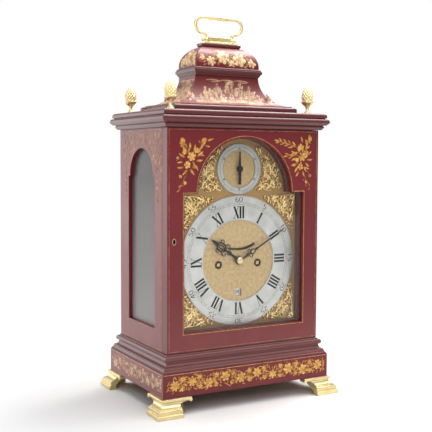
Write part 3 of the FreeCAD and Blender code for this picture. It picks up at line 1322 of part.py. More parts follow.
cock_parts += [block("cock_foot", (f"{side} * (cock_span / 2 - cock_height / 4) - cock_height / 4",
                                   f"{side} * (cock_span / 2 - cock_height / 4) + cock_height / 4"),
                     ("plate_back", "cock_front"), cock_z) for side in (-1, 1)]
cock_parts.append(block("suspension_stud", ("-cock_height / 4", "cock_height / 4"),
                        ("cock_back", "pendulum_y + pendulum_rod * 2"),
                        ("pallet_z + cock_height / 4", cock_z[1])))
cock_hole = rod("cock_hole", "y", pivot_hole, ("0", "pallet_z"), "plate_back", "cock_back + overrun")
keep(cut("back_cock", fuse("cock_whole", *cock_parts), cock_hole))

# The pallets with their arbor and crutch, and the pendulum that the crutch drives.
ANCHOR_SHARES = {"spread": 0.80, "arm": 0.24}


def pallets():
    """An anchor over the escape wheel, its arbor, and the crutch that hangs behind the back plate."""
    low, deep = size("escape_front"), thick
    drop = size("pallet_rise - escape_rise")
    outer = size("escape_radius")
    tip = outer + size("pallet_gap")
    tip_half = ANCHOR_SHARES["spread"] * tip
    tip_drop = drop - math.sqrt(tip ** 2 - tip_half ** 2)
    wide = ANCHOR_SHARES["arm"] * outer
    shape = bar(pivot, pallet_spot, plate_front, size("cock_back"))
    shape = shape.fuse(bar(arbor, pallet_spot, plate_inner + shake, size("cock_front") - shake))
    corners = [(-tip_half - wide, -tip_drop), (-tip_half, -tip_drop),
               (-tip_half + wide / 2, -tip_drop + 2 * wide),
               (0, -arbor), (tip_half - wide / 2, -tip_drop + 2 * wide), (tip_half, -tip_drop),
               (tip_half + wide, -tip_drop),
               (tip_half + wide / 2, -tip_drop + 3 * wide), (0, arbor * 2),
               (-tip_half - wide / 2, -tip_drop + 3 * wide)]
    ring = [FreeCAD.Vector(x, low, pallet_spot[1] + z) for x, z in corners]
    shape = shape.fuse(Part.Face(Part.makePolygon(ring + ring[:1])).extrude(ALONG_Y * deep))
    crutch_low = plate_back + size("moving_gap * 3")
    length = size("crutch_length")
    shape = shape.fuse(Part.makeBox(2 * arbor, arbor, length,
                                    FreeCAD.Vector(-arbor, crutch_low, pallet_spot[1] - length)))
    finger = (0, pallet_spot[1] - length + arbor)
    reach = size("pendulum_y - pendulum_rod") - size("running_gap")
    return shape.fuse(bar(arbor / 2, finger, crutch_low, reach)).removeSplitter()


keep(feature("pallets", pallets()))
rod_part = rod("pendulum_stick", "z", "pendulum_rod", ("0", "pendulum_y"), "pallet_z - bob_drop",
               "pallet_z + cock_height / 4 - moving_gap * 2")
bob_part = turned("pendulum_bob", "y", ("0", "pallet_z - bob_drop"), "pendulum_y - bob_thick / 2", [
    ("bob_radius / 4", "0"), ("bob_radius", "bob_thick / 2"), ("bob_radius / 4", "bob_thick")])
keep(fuse("pendulum", rod_part, bob_part))

# The bell on its bar over the plates, and the hammer beside it.
bell_standard = fuse(
    "bell_standard",
    block("bell_bar", ("-bell_bar / 2", "bell_bar / 2"), ("plate_front", "plate_back"),
          ("plate_top", "bell_bar_top")),
    rod("bell_post", "z", "bell_post", ("0", "bell_y"), "bell_bar_top", "bell_crown - bell_wall"))
bell_hollow = turned("bell_hollow", "z", ("0", "bell_y"), "bell_rim", [
    ("bell_radius - bell_wall", "0 - bell_wall"), ("bell_radius - bell_wall", "0"),
    ("bell_radius / 4", "bell_height - bell_wall", "ccw", "y", "0 - bell_wall")])
bell_solid = turned("bell_solid", "z", ("0", "bell_y"), "bell_rim", [
    ("bell_radius", "0"), ("bell_radius / 4", "bell_height", "ccw", "y", "0 - bell_wall")])
keep(group("bell", bell_standard, cut("bell_dish", bell_solid, bell_hollow)))
hammer_x = "-(bell_radius + hammer_gap)"
hammer_parts = [
    feature("hammer_arbor", bar(pivot, hammer_spot, plate_front, plate_back).fuse(bar(arbor, hammer_spot,
                                                                                      *between))),
    rod("hammer_head", "x", "hammer_head", ("bell_y", "hammer_head_z"), "-hammer_out - hammer_head",
        hammer_x),
    block("hammer_arm", ("-hammer_out - arbor_radius", "-hammer_out + arbor_radius"),
          ("bell_y - arbor_radius", "bell_y + arbor_radius"), ("hammer_z", "hammer_head_z"))]
keep(fuse("hammer", *hammer_parts))

doc.recompute()
for thing in doc.Objects:
    if "Invalid" in thing.State or "Error" in thing.State:
        raise RuntimeError(f"{thing.Label} could not be made: {thing.State}")
os.makedirs("parts", exist_ok=True)
for thing in nodes:
    if thing.Shape.isNull() or not thing.Shape.isValid() or not thing.Shape.Solids:
        raise RuntimeError(f"{thing.Label} has no valid solid")
    thing.Shape.exportStep(f"parts/{thing.Label}.step")
print(len(nodes), "pieces")
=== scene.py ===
import math

import bmesh
import bpy
import numpy as np
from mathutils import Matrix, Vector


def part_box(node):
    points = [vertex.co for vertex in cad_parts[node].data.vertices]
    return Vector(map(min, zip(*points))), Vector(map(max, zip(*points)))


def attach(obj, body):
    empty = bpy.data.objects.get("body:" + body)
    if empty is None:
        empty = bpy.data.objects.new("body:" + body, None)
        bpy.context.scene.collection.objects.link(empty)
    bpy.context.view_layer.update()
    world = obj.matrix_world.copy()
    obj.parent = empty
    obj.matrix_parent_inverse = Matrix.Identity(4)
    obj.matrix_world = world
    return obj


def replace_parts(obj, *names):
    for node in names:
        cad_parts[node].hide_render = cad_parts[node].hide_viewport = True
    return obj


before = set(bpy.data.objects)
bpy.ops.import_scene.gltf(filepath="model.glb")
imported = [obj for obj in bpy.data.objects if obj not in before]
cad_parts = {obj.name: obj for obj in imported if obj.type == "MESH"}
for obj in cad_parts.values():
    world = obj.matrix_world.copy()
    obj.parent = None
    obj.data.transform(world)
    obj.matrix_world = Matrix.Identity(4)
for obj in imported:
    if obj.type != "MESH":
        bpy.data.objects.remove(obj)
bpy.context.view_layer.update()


# Bracket feet, cast in brass, filed and gilt. Each is an L of two arms under a corner of the plinth, with
# a stepped face that spreads to the floor and an ear at each end, and is screwed up into the wood.
class Tone:
    """A value in a finish. Arithmetic on it adds Math nodes."""

    def __init__(self, finish, socket):
        self.finish = finish
        self.socket = socket

    def math(self, operation, first, second=0.0):
        return self.finish.add("ShaderNodeMath", {"operation": operation}, {0: first, 1: second})

    def __add__(self, other):
        return self.math("ADD", self, other)

    def __sub__(self, other):
        return self.math("SUBTRACT", self, other)

    def __rsub__(self, other):
        return self.math("SUBTRACT", other, self)

    def __mul__(self, other):
        return self.math("MULTIPLY", self, other)

    def __gt__(self, other):
        return self.math("GREATER_THAN", self, other)

    def __abs__(self):
        return self.math("ABSOLUTE", self)

    def sine(self):
        return self.math("SINE", self)

    def held(self):
        """The value kept between 0 and 1."""
        return self.finish.add("ShaderNodeClamp", {}, {"Value": self})

    __radd__ = __add__
    __rmul__ = __mul__


class Finish:
    """A node material for one kind of surface on the clock, or the nodes of the world round it."""

    def __init__(self, name, kept_in=bpy.data.materials):
        self.material = kept_in.new(name)
        self.material.use_nodes = True
        self.tree = self.material.node_tree
        self.tree.nodes.clear()

    def add(self, kind, settings, sockets, output=0):
        """A node of any kind: its settings are set first, then its sockets are filled or linked."""
        node = self.tree.nodes.new(kind)
        for name, value in settings.items():
            setattr(node, name, value)
        for name, value in sockets.items():
            if isinstance(value, Tone):
                self.tree.links.new(value.socket, node.inputs[name])
            else:
                node.inputs[name].default_value = value
        return Tone(self, node.outputs[output]) if node.outputs else None

    def spot(self):
        """The place on the piece, in metres."""
        return self.add("ShaderNodeTexCoord", {}, {}, "Object")

    def cloud(self, scale, detail=4, stretch=(1, 1, 1)):
        """Soft random tone, with about scale patches to the metre, stretched along the axes."""
        place = self.add("ShaderNodeMapping", {}, {"Vector": self.spot(), "Scale": stretch})
        return self.add("ShaderNodeTexNoise", {}, {"Vector": place, "Scale": scale, "Detail": detail})

    def part(self, axis, spot=None):
        """One coordinate of a place."""
        return self.add("ShaderNodeSeparateXYZ", {}, {0: spot or self.spot()}, axis)

    def mix(self, share, first, second):
        """One colour turning into another by a share."""
        return self.add("ShaderNodeMix", {"data_type": "RGBA"}, {0: share, 6: first, 7: second}, 2)

    def arris(self, radius):
        """How near an edge a point is, from 0 to 1, and the normal softened over the edge."""
        soft = self.add("ShaderNodeBevel", {"samples": 6}, {"Radius": radius})
        true = self.add("ShaderNodeNewGeometry", {}, {}, "Normal")
        agree = self.add("ShaderNodeVectorMath", {"operation": "DOT_PRODUCT"}, {0: soft, 1: true}, "Value")
        return ((1 - agree) * 6).held(), soft

    def bump(self, height, depth, normal=None):
        """A normal raised and sunk by a height, by at most depth metres."""
        sockets = {"Height": height, "Distance": depth}
        if normal:
            sockets["Normal"] = normal
        return self.add("ShaderNodeBump", {}, sockets)

    def surface(self, **sockets):
        """The shader at the end, with its sockets by name."""
        names = {name.replace("_", " ").title().replace("Ior", "IOR"): value
                 for name, value in sockets.items()}
        shade = self.add("ShaderNodeBsdfPrincipled", {}, names)
        self.add("ShaderNodeOutputMaterial", {}, {"Surface": shade})
        return self


def quads(rows, columns, ring=False, copies=1):
    """Faces over a grid of points kept row by row. A ring also joins the last column to the first, and
    copies repeats the grid with the points of each copy after those of the one before."""
    index = np.arange(rows * columns).reshape(rows, columns)
    near = index if ring else index[:, :-1]
    far = np.roll(index, -1, 1) if ring else index[:, 1:]
    faces = np.stack([near[:-1], near[1:], far[1:], far[:-1]], -1).reshape(-1, 4)
    return (faces + np.arange(copies)[:, None, None] * rows * columns).reshape(-1, 4)


def capped(rows, columns, copies=1):
    """Faces of grids that are closed rings of columns, with a flat cap over the first and the last row."""
    ends = np.arange(columns) + np.array([[0], [(rows - 1) * columns]])
    caps = (ends + np.arange(copies)[:, None, None] * rows * columns).reshape(-1, columns)
    return quads(rows, columns, True, copies).tolist() + caps.tolist()


def placed(name, data):
    """A new object in the scene."""
    thing = bpy.data.objects.new(name, data)
    bpy.context.scene.collection.objects.link(thing)
    return thing


def piece(name, points, faces, finish, body, closed=True, crease=40, marks=None):
    """A mesh from points in millimetres. A closed shell has its doubles merged and its faces turned
    outwards, edges sharper than the crease stay sharp, and marks, two to a point, become its UV map."""
    mesh = bpy.data.meshes.new(name)
    faces = faces.tolist() if isinstance(faces, np.ndarray) else faces
    mesh.from_pydata((np.reshape(points, (-1, 3)) * 0.001).tolist(), [], faces)
    if marks is not None:
        corners = np.empty(len(mesh.loops), np.int32)
        mesh.loops.foreach_get("vertex_index", corners)
        layer = mesh.uv_layers.new(name="run")
        layer.data.foreach_set("uv", np.reshape(marks, (-1, 2))[corners].astype(np.float32).ravel())
    if closed:
        work = bmesh.new()
        work.from_mesh(mesh)
        bmesh.ops.remove_doubles(work, verts=work.verts, dist=1e-6)
        bmesh.ops.recalc_face_normals(work, faces=work.faces)
        work.to_mesh(mesh)
        work.free()
    mesh.polygons.foreach_set("use_smooth", np.ones(len(mesh.polygons), bool))
    mesh.set_sharp_from_angle(angle=math.radians(crease))
    mesh.materials.append(finish.material)
    thing = placed(name, mesh)
    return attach(thing, body)


def dress(finish, *nodes):
    """Give CAD nodes a finish."""
    for node in nodes:
        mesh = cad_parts[node].data
        mesh.materials.clear()
        mesh.materials.append(finish.material)


def toned(name, tone, dark, light, rough, edge=None, relief=None, depth=0.0, **sockets):
    """A finish in which one cloud of tone turns a dark colour into a light one and adds to the roughness. The
    edge is the width, the share and the colour of worn edges, and relief is the cloud of its bumps, the tone
    itself where none is given."""
    finish = Finish(name)
    share = finish.cloud(*tone)
    colour, soft = finish.mix(share, dark, light), None
    if edge:
        width, worn, bright = edge
        near, soft = finish.arris(width)
        colour = finish.mix(near * worn, colour, bright)
    if depth:
        sockets["normal"] = finish.bump(finish.cloud(*relief) if relief else share, depth, soft)
    return finish.surface(base_color=colour, roughness=rough[0] + rough[1] * share, **sockets)


def full_turn(steps):
    """Angles all the way round, in equal steps."""
    return np.linspace(0, 2 * np.pi, steps, endpoint=False)


gilt = toned("gilt_brass", (70, 5), (0.66, 0.51, 0.23, 1), (0.95, 0.81, 0.46, 1), (0.20, 0.20),
             (0.0009, 0.7, (1.0, 0.92, 0.64, 1)), (420, 3), 0.00018, metallic=0.8)

CASE_HALF = np.array([111.0, 72.85])
# The stepped face from the plinth to the floor: reach beyond the case, height, and the arm's length inwards
# from the corner of the case at that height.
FOOT_FACE = np.array([
    (10.9, 22.4, 25.8), (12.9, 22.3, 26.6), (13.8, 21.9, 26.8), (14.1, 21.2, 26.8), (14.1, 19.4, 26.8),
    (13.7, 18.7, 26.4), (12.9, 18.2, 24.8), (12.5, 17.6, 20.8), (12.5, 16.8, 15.8), (12.8, 15.6, 12.6),
    (13.5, 14.4, 11.3), (14.7, 13.3, 10.8), (16.4, 12.4, 10.8), (18.2, 11.8, 11.0), (18.3, 11.4, 11.0),
    (17.8, 11.0, 10.8), (18.9, 10.7, 11.1), (19.8, 10.2, 11.4), (20.1, 9.4, 11.5), (20.1, 6.2, 11.5),
    (19.7, 5.8, 11.4), (20.0, 5.4, 11.4), (21.8, 5.1, 11.9), (22.2, 4.6, 12.0), (22.2, 0.5, 12.0),
    (21.8, 0.0, 11.8)])
# The hollow back of the casting, from the floor up to the plinth.
FOOT_BACK = np.array([
    (12.5, 0.0, 11.8), (11.8, 8.8, 11.4), (5.0, 12.8, 11.0), (3.6, 17.4, 20.0), (1.0, 18.3, 24.6),
    (1.0, 22.4, 25.8)])


def bracket_foot():
    """The face carried along the two arms, with its mitre at the corner, and closed by the back: each point's
    reach gives its distance from the case, and each arm ends at that point's own length."""
    reach, height, length = np.vstack([FOOT_FACE, FOOT_BACK]).T
    across, along = -CASE_HALF[0] - reach, -CASE_HALF[1] - reach
    ends = [(-CASE_HALF[0] + length, along), (across, along), (across, -CASE_HALF[1] + length)]
    return np.stack([np.stack([x, y, height], -1) for x, y in ends])


foot = bracket_foot()
feet_signs = np.array([(1, 1, 1), (-1, 1, 1), (1, -1, 1), (-1, -1, 1)])
feet = piece("cast_feet", foot[None] * feet_signs[:, None, None], capped(*foot.shape[:2], 4), gilt, "case",
             crease=28)
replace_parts(feet, "bracket_feet")


EAR_LENGTH, EAR_HEIGHT, EAR_ENDS = 25.4, 19.0, np.array([[14.2], [3.0]])


def ear_rolls(radius=2.2, steps=20):
    """The rolled tip of each ear: a short round bar across the ear, on the front arm and on the side arm."""
    turn = full_turn(steps)
    rolls = np.empty((2, 2, steps, 3))
    for roll, along, across in zip(rolls, (0, 1), (1, 0)):
        roll[..., along] = EAR_LENGTH + radius * np.cos(turn) - CASE_HALF[along]
        roll[..., across] = -CASE_HALF[across] - EAR_ENDS
        roll[..., 2] = EAR_HEIGHT + radius * np.sin(turn)
    return rolls


rolls = ear_rolls()[None] * feet_signs[:, None, None, None]
piece("ear_rolls", rolls, capped(2, rolls.shape[3], 8), gilt, "case")


# Plinth and base moulding, softwood under many coats of red lacquer rubbed down to a gloss, with a running
# band of flowers in raised gold on the plinth. The moulding is mitred round the case and glued on.
# The colour of the painted sheen, reflected light laid into the lacquer's colour, and the height in metres
# below which the case sides carry a painted reflection of the floor.
SHEEN_PAINT_COLOUR, SIDE_SHEEN_TOP = (0.44, 0.20, 0.18, 1), 0.38


def crimson(name, sheen_from, sheen_full, side_sheen_amount=1.0):
    """Red lacquer with uneven tone, small knocks, and edges worn to the dark ground. Towards the floor the
    sides turn paler in patches, a painted reflection of the floor, by the side sheen amount; and from the
    sheen_from height to the sheen_full height, in metres, a painted sheen of reflected light comes in
    patches."""
    finish = Finish(name)
    tone = finish.cloud(11, 6)
    edge, soft = finish.arris(0.0012)
    knocks = (finish.cloud(330, 2) > 0.70) * (finish.cloud(17, 3) > 0.52) * 0.5
    worn = (edge * (0.5 + 0.9 * finish.cloud(55, 3)) + knocks).held()
    red = finish.mix(tone, (0.125, 0.006, 0.010, 1), (0.215, 0.013, 0.018, 1))
    height, flank = finish.part(2), finish.part(0, finish.add("ShaderNodeTexCoord", {}, {}, "Normal"))
    # Painted sheen: paler between the two heights and, on the sides, towards the floor, in place of reflected
    # light.
    painted_sheen = ((height - sheen_from) * (1 / (sheen_full - sheen_from))).held() * (0.35 + 0.75 * finish.cloud(38, 5)).held()
    painted_side_sheen = abs(flank) * ((SIDE_SHEEN_TOP - height) * 2.6).held() * side_sheen_amount * (0.20 + 0.60 * finish.cloud(24, 5))
    pale = finish.mix((painted_sheen + painted_side_sheen).held(), red, SHEEN_PAINT_COLOUR)
    return finish.surface(base_color=finish.mix(worn, pale, (0.045, 0.012, 0.010, 1)),
                          specular_ior_level=0.42, roughness=0.22 + 0.14 * tone + 0.06 * finish.cloud(260, 2),
                          normal=finish.bump(finish.cloud(36, 4), 0.0002, soft))


# The plinth and case sides carry the painted sheen towards the floor; the band between the two heights lies
# above the case.
lacquer = crimson("crimson_lacquer", 0.6, 1.0)
dress(lacquer, "plinth")

# The mouldings are handled most: their lacquer is browner, thinner at the edges and more polished.
aged = Finish("aged_lacquer")
aged_tone = aged.cloud(16, 6)
aged_edge, aged_soft = aged.arris(0.0010)
aged_red = aged.mix(aged_tone, (0.085, 0.009, 0.011, 1), (0.160, 0.019, 0.021, 1))
# Below 0.10 m the mouldings pale towards the sheen colour, a painted reflection of the floor.
aged_floor_sheen = ((0.10 - aged.part(2)) * 3.5).held()
aged_red = aged.mix(aged_floor_sheen, aged_red, SHEEN_PAINT_COLOUR)
aged_worn = (aged_edge * (0.3 + 0.9 * aged.cloud(60, 3))).held()
aged.surface(base_color=aged.mix(aged_worn, aged_red, (0.10, 0.045, 0.034, 1)),
             roughness=0.24 + 0.14 * aged_tone, coat_weight=0.15, coat_roughness=0.12,
             normal=aged.bump(aged.cloud(40, 4), 0.0002, aged_soft))
dress(aged, "base_moulding")

oak = toned("plain_oak", (14, 8, (1, 14, 14)), (0.10, 0.055, 0.028, 1), (0.30, 0.18, 0.095, 1),
            (0.55, 0.2), depth=0.0004)
dress(oak, "bottom_board")


def gilding(name, dull, bright, wear=0.0):
    """Gold laid over a raised ground: bright towards the tip of each stroke, dull where the brush began and
    along its edges, and rubbed through in patches by its wear. It reads the share of the stroke's length and
    width from the UV map."""
    finish = Finish(name)
    run = finish.add("ShaderNodeUVMap", {"uv_map": "run"}, {})
    edge = abs(finish.part(1, run) - 0.5) * 2
    tone = finish.cloud(190, 3)
    share = (finish.part(0, run) * 0.8 + tone * 2.6 - edge * edge * 0.8 - 1.0).held()
    rubbed = (finish.cloud(75, 5) * 3.2 - 1.1).held()
    return finish.surface(base_color=finish.mix(share, dull, bright), metallic=0.15, alpha=1 - wear * rubbed,
                          roughness=0.36 + 0.2 * tone, normal=finish.bump(finish.cloud(900, 2), 0.00012))


gold = gilding("raised_gold", (0.28, 0.075, 0.014, 1), (0.90, 0.53, 0.13, 1))
leaf_gold = gilding("leaf_gold", (0.22, 0.052, 0.010, 1), (0.80, 0.42, 0.08, 1))
faded_gold = gilding("faded_gold", (0.48, 0.22, 0.13, 1), (0.90, 0.66, 0.44, 1), 0.5)
LEAF, STEM, SCROLL, BAND, PETAL = range(5)


def courses(rows, along):
    """The middle lines of strokes. A row holds the start u and v, the heading, the turn over its length as it
    sets out and as it ends, in degrees, the length, the half width, the height and the kind. The line is the
    running sum of its heading. The width swells and closes on a leaf, thins on a stem, ends in a knob on a
    scroll, stays the same on a band and is broad and round near the tip of a petal. Gives u, v, the
    heading's cosine and sine, half width and height."""
    u, v, heading, first, last, length, width, height, kind = np.asarray(rows, float).T[:, :, None]
    run = np.linspace(0, 1, along)
    angle = np.radians(heading + first * run + (last - first) * run ** 2 / 2)
    step = length / (along - 1)
    cosine, sine = np.cos(angle), np.sin(angle)
    middle_u = u + step * np.cumsum(cosine, 1) - step * (cosine + cosine[:, :1]) / 2
    middle_v = v + step * np.cumsum(sine, 1) - step * (sine + sine[:, :1]) / 2
    swells = [np.sin(np.pi * run ** 0.72) ** 0.8 + 0.04, 1 - 0.5 * run,
              1 - 0.72 * run + 0.75 * np.exp(-((run - 0.93) / 0.07) ** 2), np.ones(along),
              np.sqrt(np.clip(1 - ((run - 0.6) / 0.6) ** 2, 0.002, 1) * np.clip((1.01 - run) / 0.2, 0, 1))]
    swell = np.choose(np.broadcast_to(kind.astype(int), angle.shape), swells)
    return middle_u, middle_v, cosine, sine, width * swell, height * np.minimum(1, 0.35 + swell)


def strokes(rows, along=9, across=5):
    """Brush strokes as domed sheets: across each the height falls off as 1 - side squared. Gives u, v and
    height, and the marks: the share of the run and of the width."""
    u, v, cosine, sine, half, height = (values[..., None] for values in courses(rows, along))
    side = np.linspace(-1, 1, across)
    points = np.stack([u - sine * half * side, v + cosine * half * side,
                       height * (1 - side ** 2) - 0.03], -1)
    marks = np.broadcast_arrays(np.linspace(0, 1, along)[None, :, None], side / 2 + 0.5)
    return points, np.broadcast_to(np.stack(marks, -1), points.shape[:3] + (2,))


def kept(rows, inside):
    """The rows whose whole middle line lies where inside(u, v) holds."""
    u, v = courses(rows, 9)[:2]
    return np.asarray(rows)[inside(u, v).all(1)]


def wall(turn, out):
    """The ground of an ornament: a wall that faces -Y before it is turned about Z, as far out as a function
    of the height says. u runs to the right of someone facing it, v is the height."""
    angle = math.radians(turn)
    right = np.array([math.cos(angle), math.sin(angle), 0])
    facing = np.array([math.sin(angle), -math.cos(angle), 0])

    def ground(u, v, height):
        slope = (out(v + 0.05) - out(v - 0.05)) / 0.1
        lean = np.sqrt(1 + slope ** 2)
        forward, rise = out(v) + height / lean, v - height * slope / lean
        return u[..., None] * right + forward[..., None] * facing + rise[..., None] * np.array([0, 0, 1])

    return ground


def flat(out):
    """An upright wall's distance at any height."""
    return lambda v: np.full_like(v, out)


def flourish(name, rows, ground, petals, leaves, body):
    """Strokes laid on a ground as two pieces: the petals, and the leaves and stems."""
    rows = np.asarray(rows, float)
    petal = rows[:, -1] == PETAL
    for part, finish, chosen in (("_petals", petals, rows[petal]), ("_leaves", leaves, rows[~petal])):
        if len(chosen):
            points, marks = strokes(chosen)
            laid = ground(*np.moveaxis(points, -1, 0))
            faces = quads(*points.shape[1:3], copies=len(points))
            piece(name + part, laid, faces, finish, body, False, 60, marks)


def away(u, v, angle, reach):
    """The point at a reach from another in the direction of an angle in degrees."""
    return u + reach * math.cos(math.radians(angle)), v + reach * math.sin(math.radians(angle))


def leaf(u, v, heading, length, bend=0, broad=0.18, height=0.32):
    """One pointed leaf that bends steadily."""
    return [(u, v, heading, bend, bend, length, length * broad, height, LEAF)]


def tendril(u, v, heading, length, curl, width=0.32, height=0.3):
    """A thin shoot that winds up into a knob."""
    return [(u, v, heading, curl * 0.4, curl * 1.6, length, width, height, SCROLL)]


def blossom(u, v, radius, petals=6, turn=0, height=0.45):
    """An open flower: a ring of broad petals, a smaller ring between them and a heart of short strokes."""
    rows = []
    for reach, size, count, shift in ((0.18, 0.86, petals, 0), (0.08, 0.52, petals, 180 / petals),
                                      (0, 0.24, 4, 20)):
        for angle in turn + shift + np.arange(count) * 360 / count:
            rows.append((*away(u, v, angle, reach * radius), angle, 14, -14, size * radius,
                         size * radius * 2.7 / count, height * (1.3 - size / 2), PETAL))
    return rows


def tulip(u, v, heading, size):
    """A half-open flower: five petals in a fan and two leaves folded back at its foot."""
    rows = []
    for angle, share in ((-34, 0.82), (34, 0.82), (-16, 0.96), (16, 0.96), (0, 1.0)):
        rows += leaf(u, v, heading + angle, size * share, -angle * 0.9, 0.19, 0.45)
    return rows + leaf(u, v, heading + 118, size * 0.5, -60) + leaf(u, v, heading - 118, size * 0.5, 60)


def sprig(u, v, heading, length, curl, leaves, size, spread=46):
    """A stem with leaves to left and right in turn and one at its tip. The stem bends steadily."""
    rows = [(u, v, heading, curl, curl, length, 0.02 * length + 0.14, 0.2, STEM)]
    for index in range(leaves):
        share = (index + 0.8) / leaves
        side = 1 if index % 2 else -1
        spot = away(u, v, heading + curl * share / 2, share * length)
        rows += leaf(*spot, heading + curl * share + side * spread, size * (1.1 - 0.3 * share), -side * 30)
    return rows + leaf(*away(u, v, heading + curl / 2, 0.96 * length), heading + curl, size)


def flower_band(half, low, high, seed):
    """A running band: open flowers in a row, pairs of scrolls between them, and leaves of all sizes that
    spring from each flower and fill the band to its edges."""
    dice = np.random.default_rng(seed)
    tall, middle = high - low, (low + high) / 2
    count = round(2 * half / (1.15 * tall))
    step = 2 * half / count
    rows = []
    for index, u in enumerate(-half + step * (np.arange(count) + 0.5)):
        side = 1 if index % 2 else -1
        v = middle + side * dice.uniform(0.04, 0.14) * tall
        size = tall * dice.uniform(0.27, 0.33)
        for angle in dice.uniform(0, 40) + np.arange(14) * 25.7:
            rows += leaf(*away(u, v, angle, size * dice.uniform(0.9, 1.2)), angle + dice.uniform(-40, 40),
                         tall * dice.uniform(0.2, 0.36), dice.choice((-90, 90)), 0.13)
        rows += [(u, v, -side * 30, side * 80, -side * 60, step, 0.4, 0.3, STEM)]
        for spot in zip(u + step * dice.uniform(0.3, 0.7, 22), low + tall * dice.uniform(0.05, 0.95, 22)):
            rows += leaf(*spot, dice.uniform(0, 360), tall * dice.uniform(0.14, 0.26),
                         dice.choice((-80, 80)), 0.2)
        for turn in (-1, 1):
            rows += tendril(u + step / 2, middle - turn * 0.12 * tall, 90 + turn * 60, tall * 0.8,
                            -turn * 330, 0.4)
            rows += blossom(u + step * dice.uniform(0.42, 0.54), middle + turn * tall * 0.27,
                            tall * 0.14, 5, dice.uniform(0, 72), 0.5)
        rows += blossom(u, v, size, int(dice.integers(6, 9)), dice.uniform(0, 60))
    return kept(rows, lambda u, v: (abs(v - middle) < tall / 2) & (abs(u) < half))


LINE_RISE = 0.12


def lines(loops, ground, name, finish, body, half_width=0.3):
    """Thin painted lines along runs of u and v points: two edges beside each run and a low ridge between."""
    points, faces, marks = [], [], []
    for loop in loops:
        ahead = np.gradient(loop, axis=0)
        across = np.stack([-ahead[:, 1], ahead[:, 0]], -1) / np.linalg.norm(ahead, axis=1)[:, None]
        run = loop[:, None] + across[:, None] * np.array([-1, 0, 1])[None, :, None] * half_width
        faces.append(quads(len(loop), 3) + sum(len(part) for part in points))
        ridge = np.tile([0.0, LINE_RISE, 0.0], (len(loop), 1))
        points.append(ground(run[..., 0], run[..., 1], ridge).reshape(-1, 3))
        marks.append(np.tile([0.45, 0.5], (len(loop) * 3, 1)))
    return piece(name, np.vstack(points), np.vstack(faces), finish, body, False, 60,
                 np.vstack(marks))


SIDES = (("front", 0), ("left", -90), ("right", 90), ("back", 180))
PLINTH_HALF = CASE_HALF + 10.9
BAND_LOW, BAND_HIGH, BAND_MARGIN = 27.5, 49.0, 4.0
PLINTH_LINE, LINE_MARGIN = 51.2, 1.2
for side, turn in SIDES:
    lengthways = turn % 180 == 0
    half, out = PLINTH_HALF if lengthways else PLINTH_HALF[::-1]
    petals, leaves = (gold, leaf_gold) if lengthways else (faded_gold, faded_gold)
    ground = wall(turn, flat(out))
    band = flower_band(half - BAND_MARGIN, BAND_LOW, BAND_HIGH, 11 + turn % 7)
    flourish("plinth_flowers_" + side, band, ground, petals, leaves, "case")
    ends = np.array([(LINE_MARGIN - half, PLINTH_LINE), (half - LINE_MARGIN, PLINTH_LINE)])
    lines([ends], ground, "plinth_line_" + side, gold, "case")


# Case sides and back rails, lacquered boards, each side with an arched window: glass let in from the inside.
# Gold lines and trails of small flowers, much rubbed, follow the edges and fill the corners over the arch.
dress(lacquer, "left_side", "right_side", "back_rails")
dress(oak, "seat_board")

glass = Finish("clear_glass")
glass_veil = glass.add("ShaderNodeFresnel", {}, {"IOR": 1.45})
glass.surface(base_color=(0.93, 0.95, 0.94, 1), metallic=1.0, roughness=0.03,
              alpha=(glass_veil * 0.3 + 0.008 * glass.cloud(30, 3)).held())
dusty_glass = Finish("dusty_glass")
dusty_film = dusty_glass.cloud(9, 5)
# The glass is dark at the top and paler towards the bottom.
glass_paler_low = ((0.29 - dusty_glass.part(2)) * 5).held()
glass_tone = dusty_glass.mix(glass_paler_low, (0.085, 0.075, 0.07, 1), (0.36, 0.34, 0.325, 1))
dusty_clear = 1 - dusty_glass.add("ShaderNodeLayerWeight", {}, {"Blend": 0.5}, "Facing")
dusty_glass.surface(base_color=glass_tone, roughness=0.26 + 0.10 * dusty_film, specular_ior_level=0.2,
                    alpha=0.97 - dusty_clear * dusty_clear * dusty_clear * (0.65 - 0.3 * dusty_film))
dress(dusty_glass, "side_glasses")


def arch_loop(half, bottom, shoulder, radius, margin=0.0, centre=0.0, steps=48):
    """A sill, two square shoulders and a half-round arch, grown by a margin, as u and v points."""
    turn = np.linspace(0, np.pi, steps)
    arc = np.stack([np.cos(turn), np.sin(turn)], -1) * (radius + margin) + np.array([0, shoulder + margin])
    wide, low, high = half + margin, bottom - margin, shoulder + margin
    loop = np.vstack([[(-wide, low), (wide, low), (wide, high)], arc, [(-wide, high)]])
    return loop + np.array([centre, 0])


def dense(loop, gap=4.0):
    """A closed run with points added on its long straights, so that a line keeps its width at the corners."""
    loop = np.vstack([loop, loop[:1]])
    runs = []
    for start, end in zip(loop[:-1], loop[1:]):
        reach = np.linalg.norm(end - start)
        inner = [0.0]
        if reach > 2:
            inner += [0.2, *np.arange(gap, max(gap, reach - gap / 2), gap), reach - 0.2]
        runs.append(start + (end - start) * (np.array(inner) / reach)[:, None])
    return np.vstack(runs + [loop[-1:]])


# The side window: half its width, its sill, its shoulders and the radius of its arch.
SIDE_WINDOW = (40.5, 100.4, 290.4, 36.0)
SIDE_SHOULDER = SIDE_WINDOW[2]
LINES_LOW, LINES_HIGH, LINES_BACK, LINES_FRONT = 76.0, 349.0, 70.6, 55.6
worn_gold = gilding("worn_gold", (0.30, 0.075, 0.040, 1), (0.66, 0.36, 0.15, 1), 0.65)
FLOWERS_LOW, FLOWERS_HIGH, FLOWERS_STEP = 300, 346, 8.5


